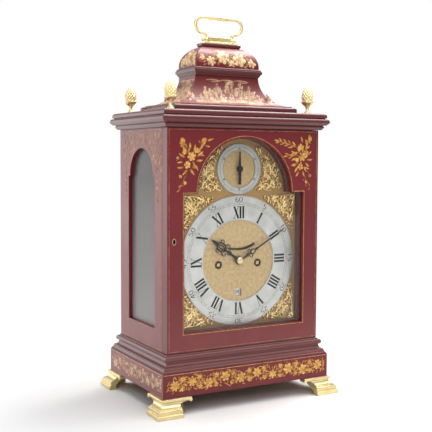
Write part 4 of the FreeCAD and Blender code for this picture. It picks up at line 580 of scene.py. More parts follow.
def side_flowers(middle):
    """A lattice of small flowers with leaves between them over the arch, thinning out as it goes down
    beside the window, and a tendril at each end."""
    dice = np.random.default_rng(23)
    rows = []
    for v in np.arange(FLOWERS_LOW, FLOWERS_HIGH, FLOWERS_STEP):
        for u in np.arange(-60, 61, 11) + (5.5 if round(v / FLOWERS_STEP) % 2 else 0):
            rows += blossom(u, v, 3.0, 6, dice.uniform(0, 60), 0.22)
            for angle in np.arange(4) * 90 + 45:
                rows += leaf(*away(u, v, angle, 2.8), angle, 3.6, dice.uniform(-50, 50), 0.2, 0.2)
    for v, size in ((294, 3.0), (286, 2.8), (277, 2.4), (268, 2.0)):
        for u in (middle - 49, middle + 49):
            rows += blossom(u, v, size, 5, dice.uniform(0, 72), 0.22) + sprig(u, v - 3, -90, 5, 40, 2, 3)
    return kept(rows, lambda u, v: (abs(u) < 62) & (v < FLOWERS_HIGH)
                & ((np.hypot(u - middle, v - SIDE_SHOULDER) > 39.5) & (v > SIDE_SHOULDER)
                   | (abs(u - middle) > 44)))


for side, turn, mirror in (("left", -90, -1), ("right", 90, 1)):
    ground = wall(turn, flat(CASE_HALF[0]))
    middle = mirror * 4.3
    flourish("side_flowers_" + side, side_flowers(middle), ground, worn_gold, worn_gold, "case")
    back, front = mirror * LINES_BACK, -mirror * LINES_FRONT
    border = np.array([(back, LINES_LOW), (front, LINES_LOW), (front, LINES_HIGH), (back, LINES_HIGH)])
    lines([dense(arch_loop(*SIDE_WINDOW, 1.4, middle)), dense(border)], ground, "side_lines_" + side,
          worn_gold, "case")


# Movement, brass plates held apart by turned pillars, with steel arbors, crossed-out wheels and two fusees.
# The brass is grained and lacquered; it stands on an oak board and is seen through the side and back glass.
brass = toned("grained_brass", (60, 5, (1, 18, 1)), (0.44, 0.29, 0.10, 1), (0.66, 0.47, 0.20, 1),
              (0.24, 0.16), (0.0005, 0.6, (0.86, 0.68, 0.36, 1)), depth=0.00008, metallic=1.0)
dress(brass, "front_plate", "back_plate", "pillars", "back_cock", "going_fusee", "strike_fusee",
      "going_barrel", "strike_barrel", "centre_wheel", "third_wheel", "escape_wheel", "cannon_wheel",
      "minute_wheel", "hour_wheel", "pendulum")

steel = toned("polished_steel", (120, 4, (1, 6, 1)), (0.22, 0.22, 0.23, 1), (0.42, 0.42, 0.43, 1),
              (0.2, 0.2), depth=0.00005, metallic=1.0)
dress(steel, "pallets", "hammer", "lock_bolt")

bell_metal = Finish("turned_bell_metal")
bell_rings = (bell_metal.part(2) * 5200).sine()
bell_tone = bell_metal.mix(bell_metal.cloud(50, 4), (0.32, 0.25, 0.15, 1), (0.52, 0.42, 0.26, 1))
bell_metal.surface(base_color=bell_tone, metallic=1.0, roughness=0.28 + 0.05 * bell_rings,
                   normal=bell_metal.bump(bell_rings, 0.00006))
dress(bell_metal, "bell")

gut = Finish("twisted_gut")
gut_twist = ((gut.part(2) + gut.part(0) * 0.4) * 9000).sine()
gut_tone = gut.mix((gut_twist * 0.5 + 0.5).held(), (0.24, 0.15, 0.06, 1), (0.46, 0.33, 0.17, 1))
gut.surface(base_color=gut_tone, roughness=0.5, normal=gut.bump(gut_twist, 0.0001))
dress(gut, "fusee_lines")


# Dial plate, mask and rings. The brass plate is gilt, matted in the middle and plain outside the rings,
# darkened
#  there by a painted shade under the mounts; the chapter ring, the ring in the arch and the date ring are
#  silvered, and the numbers are filled with wax. In the arch a painted shade darkens the gilding and silver.
DIAL_FACE, DIAL_FRONT = -55.35, -53.75
DIAL_CENTRE, ARCH_CENTRE = np.array([0.0, 182.1]), np.array([0.0, 300.2])
ARCH_SHADE_COLOUR = (0.26, 0.16, 0.065, 1)


def tarnish(finish):
    """How far a painted shade darkens the dial in the arch, growing with the height."""
    return ((finish.part(2) - 0.262) * 12).held() * 0.45


matted = Finish("matted_gilt")
matted_grit = matted.cloud(2600, 2)
matted_x, matted_z = matted.part(0), matted.part(2)
dial_rise, arch_rise = matted_z - DIAL_CENTRE[1] * 0.001, matted_z - ARCH_CENTRE[1] * 0.001
# Outside the chapter ring and the arch ring the plate is plain, and darker as painted shade under the mounts.
outside = ((matted_x * matted_x + dial_rise * dial_rise) > 0.080 ** 2) * (
    (matted_x * matted_x + arch_rise * arch_rise) > 0.028 ** 2)
matted_gold = matted.mix(matted.cloud(260, 8), (0.42, 0.27, 0.10, 1), (0.86, 0.67, 0.38, 1))
matted_gold = matted.mix(outside, matted_gold, (0.47, 0.29, 0.11, 1))
# The arch is darkened by the painted shade.
matted.surface(base_color=matted.mix(tarnish(matted), matted_gold, ARCH_SHADE_COLOUR), metallic=0.6,
               roughness=0.42 + 0.2 * matted_grit, normal=matted.bump(matted_grit, 0.00022))
dress(matted, "dial_plate")
dress(aged, "dial_mask")

silvered = Finish("silvered_brass")
silver_grain = silvered.cloud(900, 3)
silver_tone = silvered.mix(silvered.cloud(60, 8), (0.41, 0.42, 0.395, 1), (0.80, 0.80, 0.77, 1))
# Painted shade in the arch.
silver_tone = silvered.mix(tarnish(silvered), silver_tone, (0.17, 0.18, 0.16, 1))
silvered.surface(base_color=silver_tone, metallic=0.7, roughness=0.32 + 0.14 * silver_grain,
                 normal=silvered.bump(silver_grain, 0.00004))
dress(silvered, "chapter_ring", "subsidiary_ring", "date_ring")

wax = toned("black_wax", (300, 3), (0.004, 0.004, 0.005, 1), (0.016, 0.015, 0.015, 1), (0.5, 0.2),
            specular_ior_level=0.15)
WAX_SUNK, WAX_PROUD = 0.05, 0.06


def filled(name, rows, face=DIAL_FACE, body="case"):
    """Engraved strokes filled level: each row's start, end and half width become a thin straight bar that
    stands just proud of the face."""
    rows = np.asarray(rows, float)
    start, end, half = rows[:, :2], rows[:, 2:4], rows[:, 4:]
    ahead = end - start
    across = np.stack([-ahead[:, 1], ahead[:, 0]], -1) / np.linalg.norm(ahead, axis=1)[:, None] * half
    corners = np.stack([start - across, end - across, end + across, start + across], 1)
    points = np.stack([np.insert(corners, 1, face + depth, axis=2) for depth in (WAX_SUNK, -WAX_PROUD)], 1)
    return piece(name, points, capped(2, 4, len(rows)), wax, body, crease=30)


def clockwise(angle):
    """The directions across and outwards at an angle clockwise from the top, in degrees."""
    turn = math.radians(angle)
    return np.array([math.cos(turn), -math.sin(turn)]), np.array([math.sin(turn), math.cos(turn)])


def radial(rows, angle, radius, centre, upright=1):
    """Rows drawn about the middle of their foot, moved out to a radius and turned clockwise. Upright -1 turns
    them on their heads, so that they read upright at the bottom of a dial."""
    rows = np.array(rows, float)
    across, out = clockwise(angle)
    for start in (0, 2):
        x, y = rows[:, start] * upright, rows[:, start + 1] * upright + radius
        rows[:, start:start + 2] = centre + x[:, None] * across + y[:, None] * out
    return rows


# Letters of the hours: start, end and half width of each stroke in a letter one high, and its advance.
HOUR_LETTERS = {
    "I": ([(0, 0, 0, 1, 0.082), (-0.13, 0.02, 0.13, 0.02, 0.02), (-0.13, 0.98, 0.13, 0.98, 0.02)], 0.27),
    "V": ([(-0.20, 1, 0.02, 0, 0.084), (0.20, 1, 0.02, 0, 0.018), (-0.31, 0.98, -0.08, 0.98, 0.02),
           (0.10, 0.98, 0.30, 0.98, 0.02)], 0.52),
    "X": ([(-0.20, 1, 0.20, 0, 0.084), (0.20, 1, -0.20, 0, 0.018), (-0.30, 0.98, -0.08, 0.98, 0.02),
           (0.09, 0.98, 0.29, 0.98, 0.02), (-0.29, 0.02, -0.09, 0.02, 0.02), (0.08, 0.02, 0.30, 0.02, 0.02)],
          0.54)}
HOURS = ("XII", "I", "II", "III", "IIII", "V", "VI", "VII", "VIII", "IX", "X", "XI")


def hour_rows(word, height):
    """An hour in upright strokes, its letters side by side about the middle."""
    left = -sum(HOUR_LETTERS[letter][1] for letter in word) / 2
    rows = []
    for letter in word:
        drawn, advance = HOUR_LETTERS[letter]
        shift = left + advance / 2
        rows += [(x0 + shift, y0, x1 + shift, y1, half) for x0, y0, x1, y1, half in drawn]
        left += advance
    return np.array(rows) * height


DIGITS = {
    "0": [(0.30, 1), (0.15, 0.93), (0.07, 0.72), (0.06, 0.5), (0.07, 0.28), (0.15, 0.07), (0.30, 0),
          (0.45, 0.07), (0.53, 0.28), (0.54, 0.5), (0.53, 0.72), (0.45, 0.93), (0.30, 1)],
    "1": [(0.16, 0.82), (0.31, 1), (0.31, 0)],
    "2": [(0.09, 0.74), (0.15, 0.92), (0.30, 1), (0.46, 0.92), (0.51, 0.75), (0.44, 0.55), (0.24, 0.28),
          (0.07, 0.02), (0.54, 0.02)],
    "3": [(0.08, 0.86), (0.20, 0.98), (0.36, 1), (0.49, 0.88), (0.49, 0.68), (0.36, 0.54), (0.24, 0.53),
          (0.40, 0.50), (0.53, 0.35), (0.52, 0.14), (0.38, 0.01), (0.20, 0.01), (0.06, 0.14)],
    "4": [(0.42, 0), (0.42, 1), (0.04, 0.29), (0.58, 0.29)],
    "5": [(0.50, 0.99), (0.14, 0.99), (0.10, 0.55), (0.30, 0.62), (0.48, 0.52), (0.54, 0.30), (0.46, 0.08),
          (0.28, 0), (0.08, 0.10)],
    "6": [(0.50, 0.90), (0.35, 1), (0.18, 0.88), (0.08, 0.60), (0.07, 0.30), (0.18, 0.06), (0.34, 0),
          (0.50, 0.12), (0.53, 0.32), (0.42, 0.50), (0.25, 0.52), (0.09, 0.38)],
    "7": [(0.07, 0.80), (0.10, 0.98), (0.53, 0.98), (0.36, 0.55), (0.27, 0)],
    "8": [(0.30, 1), (0.14, 0.90), (0.14, 0.66), (0.44, 0.42), (0.52, 0.20), (0.40, 0.02), (0.20, 0.02),
          (0.08, 0.20), (0.16, 0.42), (0.45, 0.66), (0.45, 0.90), (0.30, 1)],
    "9": [(0.10, 0.10), (0.25, 0), (0.42, 0.12), (0.52, 0.40), (0.53, 0.70), (0.42, 0.94), (0.26, 1),
          (0.10, 0.88), (0.07, 0.68), (0.18, 0.50), (0.35, 0.48), (0.51, 0.62)]}


def number_rows(text, height, wide=1.0):
    """A number in short strokes, broad where they run up and down and fine where they run across."""
    rows = []
    for place, digit in enumerate(text):
        run = (np.array(DIGITS[digit]) + np.array([(place - len(text) / 2) * 0.66, 0])) * (wide, 1)
        ahead = run[1:] - run[:-1]
        broad = 0.03 + 0.05 * np.abs(ahead[:, 1]) / np.linalg.norm(ahead, axis=1)
        rows.append(np.column_stack([run[:-1], run[1:], broad]))
    return np.vstack(rows) * height


def round_dial(drawn, radius, centre):
    """Drawings set round a dial clockwise from the top in equal steps."""
    return [radial(rows, index * 360 / len(drawn), radius, centre) for index, rows in enumerate(drawn)]


HOUR_RADIUS, NUMBER_RADIUS, TRACK_RADIUS = 54.6, 76.0, 72.2
ARCH_NUMBER_RADIUS, ARCH_TRACK_RADIUS = 24.6, 28.2
DATE_FACE, DATE_RADIUS, DATE_SHOWN, DAYS = -51.15, 44.0, 24, 31
hour_numbers = [hour_rows(word, 15.4) for word in HOURS]
filled("hour_numbers", np.vstack(round_dial(hour_numbers, HOUR_RADIUS, DIAL_CENTRE)))
minute_numbers = [number_rows(str(index * 5 or 60), 6.0, 1.5) for index in range(12)]
minute_ticks = [[(0, 0, 0, 2.6, 0.1 if index % 5 else 0.24)] for index in range(60)]
arch_numbers = [number_rows(str(index * 10 or 60), 2.8) for index in range(6)]
arch_ticks = [[(0, 0, 0, 2.2 if index % 5 else 3.4, 0.12)] for index in range(60)]
filled("minute_numbers", np.vstack(round_dial(minute_numbers, NUMBER_RADIUS, DIAL_CENTRE)
                                   + round_dial(minute_ticks, TRACK_RADIUS, DIAL_CENTRE)
                                   + round_dial(arch_numbers, ARCH_NUMBER_RADIUS, ARCH_CENTRE)
                                   + round_dial(arch_ticks, ARCH_TRACK_RADIUS, ARCH_CENTRE)))
date_numbers = [radial(number_rows(str(day), 5.0), 180 - (day - DATE_SHOWN) * 360 / DAYS, DATE_RADIUS,
                       DIAL_CENTRE, -1) for day in range(1, DAYS + 1)]
filled("date_numbers", np.vstack(date_numbers), DATE_FACE, "date")


def turned_rings(name, rings, finish, steps=180):
    """Rings turned about the dial's axis: each has a centre and a closed section of radius and depth."""
    turn = full_turn(steps)
    points = []
    for centre, section in rings:
        radius, depth = np.vstack([section, section[:1]]).T[:, :, None]
        points.append(np.stack(np.broadcast_arrays(centre[0] + radius * np.sin(turn), depth,
                                                   centre[1] + radius * np.cos(turn)), -1))
    faces = quads(len(points[0]), steps, True, len(points))
    return piece(name, np.array(points), faces, finish, "case", crease=30)


def groove(radius, face, half=0.11):
    """The section of an engraved circle filled with wax."""
    low, high, back, front = radius - half, radius + half, face + WAX_SUNK, face - WAX_PROUD
    return np.array([(low, back), (low, front), (high, front), (high, back)])


ring_lines = [(DIAL_CENTRE, groove(radius, DIAL_FACE)) for radius in (53.0, TRACK_RADIUS, 74.8, 83.6)]
ring_lines += [(ARCH_CENTRE, groove(radius, DIAL_FACE)) for radius in (24.2, ARCH_TRACK_RADIUS, 31.9)]
turned_rings("ring_lines", ring_lines, wax)
WINDING_SPOTS = np.array([(-29.3, 177.5), (29.3, 177.5)])
# The broad ring at the edge of each winding hole is a painted shadow of the hole; the fine ring outside it is
# an engraved line.
turned_rings("winding_line_and_hole_shadow", [(spot, groove(radius, DIAL_FRONT, half)) for spot in WINDING_SPOTS
                               for radius, half in ((4.7, 0.36), (5.8, 0.10))], wax, 60)
# A black tube behind each winding hole, a painted shadow inside the hole.
WINDING_HOLE_SHADOW = np.array([
    (4.38, -53.9), (3.9, -53.9), (3.9, -45.6), (2.5, -45.6), (2.5, -45.2), (4.38, -45.2)])
turned_rings("winding_hole_shadows", [(spot, WINDING_HOLE_SHADOW) for spot in WINDING_SPOTS], wax, 60)

# Corner and arch mounts, cast in brass as open scrollwork, chased and gilt, and pinned to the dial plate.
old_gilt = Finish("old_gilt")
old_tone = old_gilt.cloud(240, 4)
# Painted shade: the strokes darken towards the plate, in the crevices between them.
crevice_shade_share = ((old_gilt.part(1) * -1000 + DIAL_FRONT) * 0.5).held()
old_gold = old_gilt.mix(old_tone, (0.98, 0.66, 0.26, 1), (1.0, 0.84, 0.46, 1))
# Painted shade in the arch.
old_gold = old_gilt.mix(tarnish(old_gilt), old_gold, ARCH_SHADE_COLOUR)
old_gilt.surface(base_color=old_gilt.mix(crevice_shade_share, (0.12, 0.06, 0.016, 1), old_gold), metallic=1.0,
                 roughness=0.20 + 0.16 * old_tone, normal=old_gilt.bump(old_gilt.cloud(1500, 2), 0.0001))


def foliage(count, width, height, seed):
    """Many short leaves and scrolls scattered at random over a rectangle from the origin."""
    dice = np.random.default_rng(seed)
    length = dice.uniform(5, 11, count)
    curl = dice.uniform(60, 240, count) * dice.choice((-1, 1), count)
    return np.column_stack([dice.uniform(0, width, count), dice.uniform(0, height, count),
                            dice.uniform(0, 360, count), curl * 0.4, curl * 1.6, length, 0.13 * length,
                            dice.uniform(1.2, 2.4, count), dice.choice((LEAF, SCROLL), count)])


def swapped(rows):
    """Rows mirrored about the diagonal of their corner."""
    rows = np.array(rows, float)
    rows[:, :2] = rows[:, 1::-1]
    rows[:, 2:5] = np.array([90, 0, 0]) - rows[:, 2:5]
    return rows


def bars(rows, along):
    """Strokes as solid bars: seven points round each, flat behind and rounded in front. Gives u, v and
    height."""
    u, v, cosine, sine, half, height = (values[..., None] for values in courses(rows, along))
    side = np.array([-1, -0.6, 0, 0.6, 1, 1, -1])
    rise = np.array([0.45, 0.85, 1, 0.85, 0.45, 0, 0])
    return np.stack([u - sine * half * side, v + cosine * half * side, height * rise], -1)


def chased(name, rows, flips):
    """Scrollwork on the dial plate: solid strokes with a raised section, repeated from each foot with the
    signs of its flip."""
    points = bars(rows, 13)
    copies = [np.stack([foot_x + sign_x * points[..., 0], DIAL_FRONT + 0.02 - points[..., 2],
                        foot_z + sign_z * points[..., 1]], -1) for foot_x, foot_z, sign_x, sign_z in flips]
    faces = capped(*points.shape[1:3], len(points) * len(flips))
    return piece(name, np.array(copies), faces, old_gilt, "case", crease=60)


CORNER_X, CORNER_TOP, CORNER_LOW, ARCH_FOOT = 86.6, 268.6, 98.8, 270.0
# The edges that the scrollwork stops at: each ring's middle over the foot of the mount, and its clear radius.
RING_MIDDLE, RING_EDGE, SMALL_RING_MIDDLE, SMALL_RING_EDGE, ARCH_EDGE = 86.5, 86.0, 30.2, 34.4, 67.0
corner_half = [
    (2, 2, 4, -8, 14, 26, 1.3, 1.9, STEM), (3, 4, 20, 60, 150, 20, 1.5, 2.4, SCROLL),
    (12, 3, 12, 130, 330, 22, 1.5, 2.4, SCROLL), (24, 3, 18, 40, -80, 16, 1.7, 2.2, LEAF),
    (30, 2.4, 2, 100, 300, 14, 1.1, 1.9, SCROLL), (40, 2.4, 4, 10, -30, 13, 1.3, 1.7, LEAF),
    (9, 12, 40, 12, -40, 13, 1.9, 2.5, LEAF)]
corner_rows = np.vstack([corner_half, foliage(170, 52, 30, 5)])
corner_rows = kept(corner_rows, lambda u, v: (u > 1.0) & (v > 1.0) & (v < u + 6) & (u < 50)
                   & (np.hypot(u - CORNER_X, v - RING_MIDDLE) > RING_EDGE))
corner_flips = [(side * CORNER_X, height, -side, rise) for height, rise in ((CORNER_TOP, -1), (CORNER_LOW, 1))
                for side in (1, -1)]
corner_mounts = chased("corner_mounts", np.vstack([corner_rows, swapped(corner_rows)]), corner_flips)
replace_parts(corner_mounts, "corner_spandrels")
arch_half = [
    (40, 8, 100, 60, 160, 24, 1.6, 2.4, SCROLL), (54, 6, 92, 70, 240, 22, 1.5, 2.3, SCROLL),
    (48, 22, 80, 40, 60, 20, 1.8, 2.4, LEAF), (30, 4, 10, 60, 200, 16, 1.4, 2.0, SCROLL),
    (45, 40, 118, 20, 60, 14, 1.4, 2.0, LEAF)]
arch_rows = kept(np.vstack([arch_half, foliage(460, 68, 60, 9)]), lambda u, v: (v > 1.5) & (u > 2)
                 & (np.hypot(u, v - SMALL_RING_MIDDLE) > SMALL_RING_EDGE) & (np.hypot(u, v) < ARCH_EDGE))
arch_mounts = chased("arch_mounts", arch_rows, [(0, ARCH_FOOT, side, 1) for side in (1, -1)])
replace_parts(arch_mounts, "arch_spandrels")


# Hands of blued steel, pierced and filed in scrolls, with a domed brass collet that holds the two long ones
# on the centre arbor, and a plain pointer in the arch.
blued = toned("blued_steel", (160, 4), (0.006, 0.007, 0.010, 1), (0.022, 0.021, 0.025, 1), (0.26, 0.16),
              metallic=0.3, specular_ior_level=0.25)
dress(blued, "subsidiary_hand")
dress(gilt, "hand_collet")


def pairs(*rows):
    """Strokes of a hand, each with its mirror image about the hand's length."""
    mirrored = [(-u, v, 180 - heading, -first, -last, *rest) for u, v, heading, first, last, *rest in rows]
    return [*rows, *mirrored]


def pierced_hand(name, node, rows, angle, back, body):
    """Bars that cross and join, laid out along the hand from its arbor and turned clockwise to its hour."""
    points = bars(rows, 25)
    across, out = clockwise(angle)
    spot = DIAL_CENTRE + points[..., :1] * across + points[..., 1:2] * out
    laid = np.insert(spot, 1, back - points[..., 2], axis=-1)
    faces = capped(*points.shape[1:3], len(points))
    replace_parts(piece(name, laid, faces, blued, body, crease=50), node)


def hoop(v, radius, half):
    """A band in a full circle about a point on the hand's length."""
    return [(radius, v, 90, 360, 360, 2 * math.pi * radius, half, 1.0, BAND)]


hour_cut = (
    hoop(0, 4.2, 1.7) + hoop(41.6, 1.9, 0.6)
    + [(0, 5.0, 90, 0, 0, 21, 1.9, 1.0, STEM), (0, 38.5, 90, 0, 0, 11.5, 1.9, 1.0, LEAF)]
    + pairs((0, 24.5, 20, 140, 140, 20.0, 0.85, 1.0, BAND), (0, 25, 55, 70, 70, 14.5, 0.75, 1.0, BAND),
            (5.5, 27.5, -20, -120, -330, 10.5, 0.9, 1.0, SCROLL),
            (4.4, 36.4, 40, -140, -300, 9.0, 0.8, 1.0, SCROLL),
            (0.6, 15.5, 20, 100, 260, 8.0, 0.8, 1.0, SCROLL)))
pierced_hand("hour_hand_cut", "hour_hand", hour_cut, 305, -56.35, "hour")
minute_cut = (
    hoop(0, 3.9, 1.6) + hoop(29.5, 1.4, 0.5)
    + [(0, 4.6, 90, 0, 0, 16, 1.6, 1.0, STEM), (0, 26, 90, 0, 0, 51, 1.15, 1.0, STEM)]
    + pairs((0, 17.5, 30, 120, 120, 11.5, 0.75, 1.0, BAND),
            (3.2, 20, -10, -120, -320, 7.5, 0.75, 1.0, SCROLL),
            (0.5, 12, 25, 110, 280, 6.5, 0.7, 1.0, SCROLL)))
pierced_hand("minute_hand_cut", "minute_hand", minute_cut, 60, -58.35, "minute")


# Front door, a lacquered frame with an arched opening, its edges picked out in gold, and a bunch of flowers
# in each upper corner. A moulded bead behind holds the glass; the lock is let into the left stile.
# The door pales towards its foot, a painted reflection of light from the floor; its sides carry no side
# sheen.
door_lacquer = crimson("door_lacquer", 0.15, -0.25, 0.0)
dress(door_lacquer, "front_door")
dress(glass, "front_door_glass")
dress(brass, "door_lock", "front_hinge_leaves", "case_hinge_leaves", "back_hinge_leaves", "back_door_catch")
HINGE_THICK, LEAF_REACH = 1.2, 8.5
SCREW_RADIUS, SCREW_REACH, SCREW_HEIGHTS = 1.4, 5.6, np.array([5, 15, 25])


def screw_heads(name, centres, across, body):
    """Slotted heads on upright hinge leaves: a square grid drawn in to a disc, domed as 1 - radius squared,
    with a flat sunk slot, each turned by its own angle."""
    grid = np.array([-1, -0.8, -0.5, -0.17, -0.15, 0.15, 0.17, 0.5, 0.8, 1.0])
    u, v = np.meshgrid(grid, grid, indexing="ij")
    x, y = u * np.sqrt(1 - v ** 2 / 2), v * np.sqrt(1 - u ** 2 / 2)
    rise = 0.5 * (1 - x ** 2 - y ** 2) - 0.05
    rise = np.where(abs(v) < 0.16, np.minimum(rise, 0.06), rise)[..., None]
    turn = np.random.default_rng(7).uniform(0, np.pi, len(centres))[:, None, None]
    side = (x * np.cos(turn) - y * np.sin(turn))[..., None] * SCREW_RADIUS
    lift = (x * np.sin(turn) + y * np.cos(turn))[..., None] * SCREW_RADIUS
    up = np.array([0, 0, 1])
    points = centres[:, None, None] + side * across + lift * up + rise * np.cross(across, up)
    piece(name, points, quads(*u.shape, copies=len(centres)), brass, body, False)


def hinge_screws(side, leaves, axis, sign):
    """Three screws in each leaf of a door's two hinges, half of them on the door and half on the case, from
    the box of the door's leaves. The pin is a leaf's reach in from their free edge, along an axis and its
    sign."""
    low, high = np.array(leaves) * 1000
    pin = (low if sign > 0 else high)[axis] + sign * LEAF_REACH
    heights = np.concatenate([low[2] + SCREW_HEIGHTS, high[2] - SCREW_HEIGHTS[::-1]])
    for name, shift, body in (("_hinge_screws", -sign, side + "_door"), ("_case_screws", sign, "case")):
        spots = np.empty((len(heights), 3))
        spots[:, axis] = pin + shift * SCREW_REACH
        spots[:, 1 - axis] = CASE_HALF[1 - axis] + HINGE_THICK
        spots[:, 2] = heights
        screw_heads(side + name, spots, sign * np.eye(3)[axis], body)


hinge_screws("front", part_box("front_hinge_leaves"), 1, 1)
# The opening that the glass fills: half its width, its sill, its shoulders and the radius of its arch.
SIGHT = (88.0, 97.4, 270.0, 69.3)
BEAD_SECTION = np.array([
    (4.3, -66.8), (0.0, -66.8), (0.0, -66.2), (0.9, -65.7), (1.1, -65.0), (0.9, -64.3), (0.1, -63.9),
    (0.0, -63.2), (0.2, -62.4), (1.0, -61.9), (1.2, -61.2), (1.0, -60.5), (0.2, -60.0), (0.1, -59.2),
    (0.5, -58.5), (1.0, -58.3), (4.3, -58.3), (4.3, -66.8)])
bead = np.stack([np.insert(arch_loop(*SIGHT, margin), 1, depth, axis=1) for margin, depth in BEAD_SECTION])
glazing_bead = piece("glazing_bead", bead, quads(*bead.shape[:2], ring=True), aged, "front_door",
                     crease=25)
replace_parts(glazing_bead, "front_door_bead")

door_ground = wall(0, flat(CASE_HALF[1]))
door_edge = np.array([(-1, 76.2), (1, 76.2), (1, 348.8), (-1, 348.8)]) * np.array([108.6, 1])
lines([dense(arch_loop(*SIGHT, 1.3))], door_ground, "arch_line", gold, "front_door", 0.26)
lines([dense(door_edge)], door_ground, "door_edge_line", worn_gold, "front_door", 0.26)

# Each bunch: what draws its strokes, and the places, headings and sizes to draw them with.
LEFT_BUNCH = {
    sprig: [(-80, 312, 100, 20, 40, 2, 7), (-76, 314, 62, 20, -22, 2, 7)],
    tulip: [(-89, 330, 105, 9.5), (-65, 332, 40, 10)],
    blossom: [(-78, 316, 5.6, 6, 10, 0.55), (-84, 305.5, 4.4, 5, 30, 0.5), (-97, 314, 1.9, 5),
              (-93.5, 291.5, 2.1, 5), (-87, 283.5, 2.1, 5), (-71, 323.5, 3.4, 5, 10, 0.5),
              (-88, 321, 3.0, 5, 40, 0.5)],
    leaf: [(-56, 335, 28, 9, -20), (-60, 330, -28, 8, 30), (-77, 311, 300, 10, -20),
           (-82, 311, 235, 10, 20), (-75, 320, 70, 11, 20), (-71, 316, 25, 11, 20), (-72, 311, -10, 10, 30),
           (-85, 320, 130, 11, -20), (-87, 315, 165, 10, -30), (-89, 303, 195, 9, -20),
           (-78, 304, -30, 9, 30), (-80, 301, -62, 10, 20), (-85, 300, -115, 9, -30), (-80, 324, 92, 9),
           (-92, 281, 200, 5, 30), (-95, 276, 235, 5, -20), (-70, 322, 48, 10, -20), (-84, 326, 118, 9, 25),
           (-74, 306, -45, 9, -25), (-90, 309, 178, 8, 20), (-68, 318, 5, 8, -30)],
    tendril: [(-92, 312, 160, 8, 90), (-87, 292, 215, 9, 140), (-88, 286, 300, 9, -150)]}
RIGHT_BUNCH = {
    sprig: [(78, 328, 160, 30, 8, 8, 8.5), (80, 318, 172, 16, 18, 3, 9), (88, 322, 62, 18, 10, 3, 8.5)],
    tulip: [(96, 336, 60, 8)],
    blossom: [(85.5, 316, 5.6, 6, 0, 0.55), (83.5, 328.5, 4.6, 5, 20, 0.5), (82.5, 303, 4.2, 5, 40, 0.5),
              (98, 291.5, 2.1, 5), (92.5, 283, 1.9, 5), (91.5, 322, 3.4, 5, 10, 0.5),
              (77.5, 312, 3.0, 5, 40, 0.5)],
    leaf: [(86, 320, 85, 11, 20), (83, 320, 130, 10, -20), (89, 314, 40, 10, 20), (84, 311, 250, 10, 20),
           (92, 318, 20, 10, 30), (93, 313, -15, 9, 30), (90, 309, -50, 9, 20), (80, 309, 200, 10, 30),
           (79, 303, 225, 9, 20), (80, 298, 250, 9, -20), (86, 298, 285, 9, 20), (79, 322, 195, 10, -20),
           (86, 335, 100, 8, 20), (78, 314, 185, 10, 20), (96, 282, 290, 5, 20), (98, 277, 260, 5, -30),
           (74, 318, 165, 9, 25), (91, 327, 75, 9, -20), (76, 308, 215, 9, -25), (88, 304, -70, 9, 25),
           (90, 303, -35, 8, 30)],
    tendril: [(93, 291, 20, 9, 170), (94, 286, 235, 9, -170)]}
door_stems = [(-84, 300, 262, -60, 20, 30, 0.4, 0.3, STEM), (87, 298, 300, -40, -20, 22, 0.4, 0.3, STEM)]
door_rows = door_stems + [row for bunch in (LEFT_BUNCH, RIGHT_BUNCH) for draw, places in bunch.items()
                          for place in places for row in draw(*place)]
door_rows = kept(door_rows, lambda u, v: (np.hypot(u, v - SIGHT[2]) > 71.5) & (abs(u) < 107) & (v < 347))
flourish("door_flowers", door_rows, door_ground, gold, leaf_gold, "front_door")

KEY_SPOT = np.array([-101.9, 211.9])


def keyhole_ring(name, inner, outer, rise, finish, steps=40):
    """A flat oval ring about the keyhole: its section goes up the inner oval, out over the face to a small
    bevel and down the outer oval."""
    turn = full_turn(steps)
    section = [(inner, 0, -0.05), (inner, 0, rise), (outer, -0.2, rise), (outer, 0, rise - 0.2),
               (outer, 0, -0.05), (inner, 0, -0.05)]
    points = [np.stack([KEY_SPOT[0] + (wide + less) * np.sin(turn), np.full(steps, -CASE_HALF[1] - out),
                        KEY_SPOT[1] + (tall + less) * np.cos(turn)], -1)
              for (wide, tall), less, out in section]
    piece(name, points, quads(6, steps, True), finish, "front_door", crease=30)


# The dark oval is a painted shadow of the keyhole, laid round the hole.
keyhole_ring("keyhole_shadow", (1.5, 1.5), (2.0, 3.4), 0.4, blued)
keyhole_ring("keyhole_rim", (2.0, 3.4), (2.7, 4.1), 0.5, brass)


# Back door, a plainer lacquered frame with an arched glass, hung on two butt hinges and held by a turn catch.
dress(door_lacquer, "back_door")
dress(glass, "back_door_glass")
hinge_screws("back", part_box("back_hinge_leaves"), 0, -1)


# Cornice, step, hollow roof, waist, dome and cap, lacquered blocks and mouldings built up one on the other.
# The roof carries little hills, bushes and tall flowers in faded gold, and the dome open flowers.
# The lower roof and the top of the dome pale into a painted sheen, reflected light from above.
dress(crimson("roof_lacquer", 0.419, 0.384), "bell_flare")
dress(crimson("dome_lacquer", 0.436, 0.470), "bell_dome")
dress(aged, "top_board", "cornice", "caddy_step", "waist_moulding", "top_cap")
dome_gold = gilding("dome_gold", (0.42, 0.15, 0.05, 1), (1.0, 0.76, 0.44, 1), 0.2)
dome_leaf = gilding("dome_leaf_gold", (0.26, 0.07, 0.020, 1), (0.78, 0.44, 0.14, 1), 0.4)
ROOF_TOP, ROOF_RISE = 421.0, 38.4
ROOF_FOOT, ROOF_NECK, DOME_HALF = (86.0, 46.5), (47.3, 23.2), (47.0, 25.0)
DOME_RADIUS, DOME_INSET, DOME_LEVEL = 26.98, 26.9, 433.7
SCENE_LOW, SCENE_HIGH, BANKS, BUSHES, TRUNKS, CLOUDS = 384.5, 419, 386.0, 390, 388, (415.0, 413.2)


def roof(foot, neck):
    """How far out the hollow roof stands at a height: a quarter ellipse that is upright at the neck."""
    return lambda v: foot - (foot - neck) * np.sqrt(np.clip(1 - ((ROOF_TOP - v) / ROOF_RISE) ** 2, 0, 1))


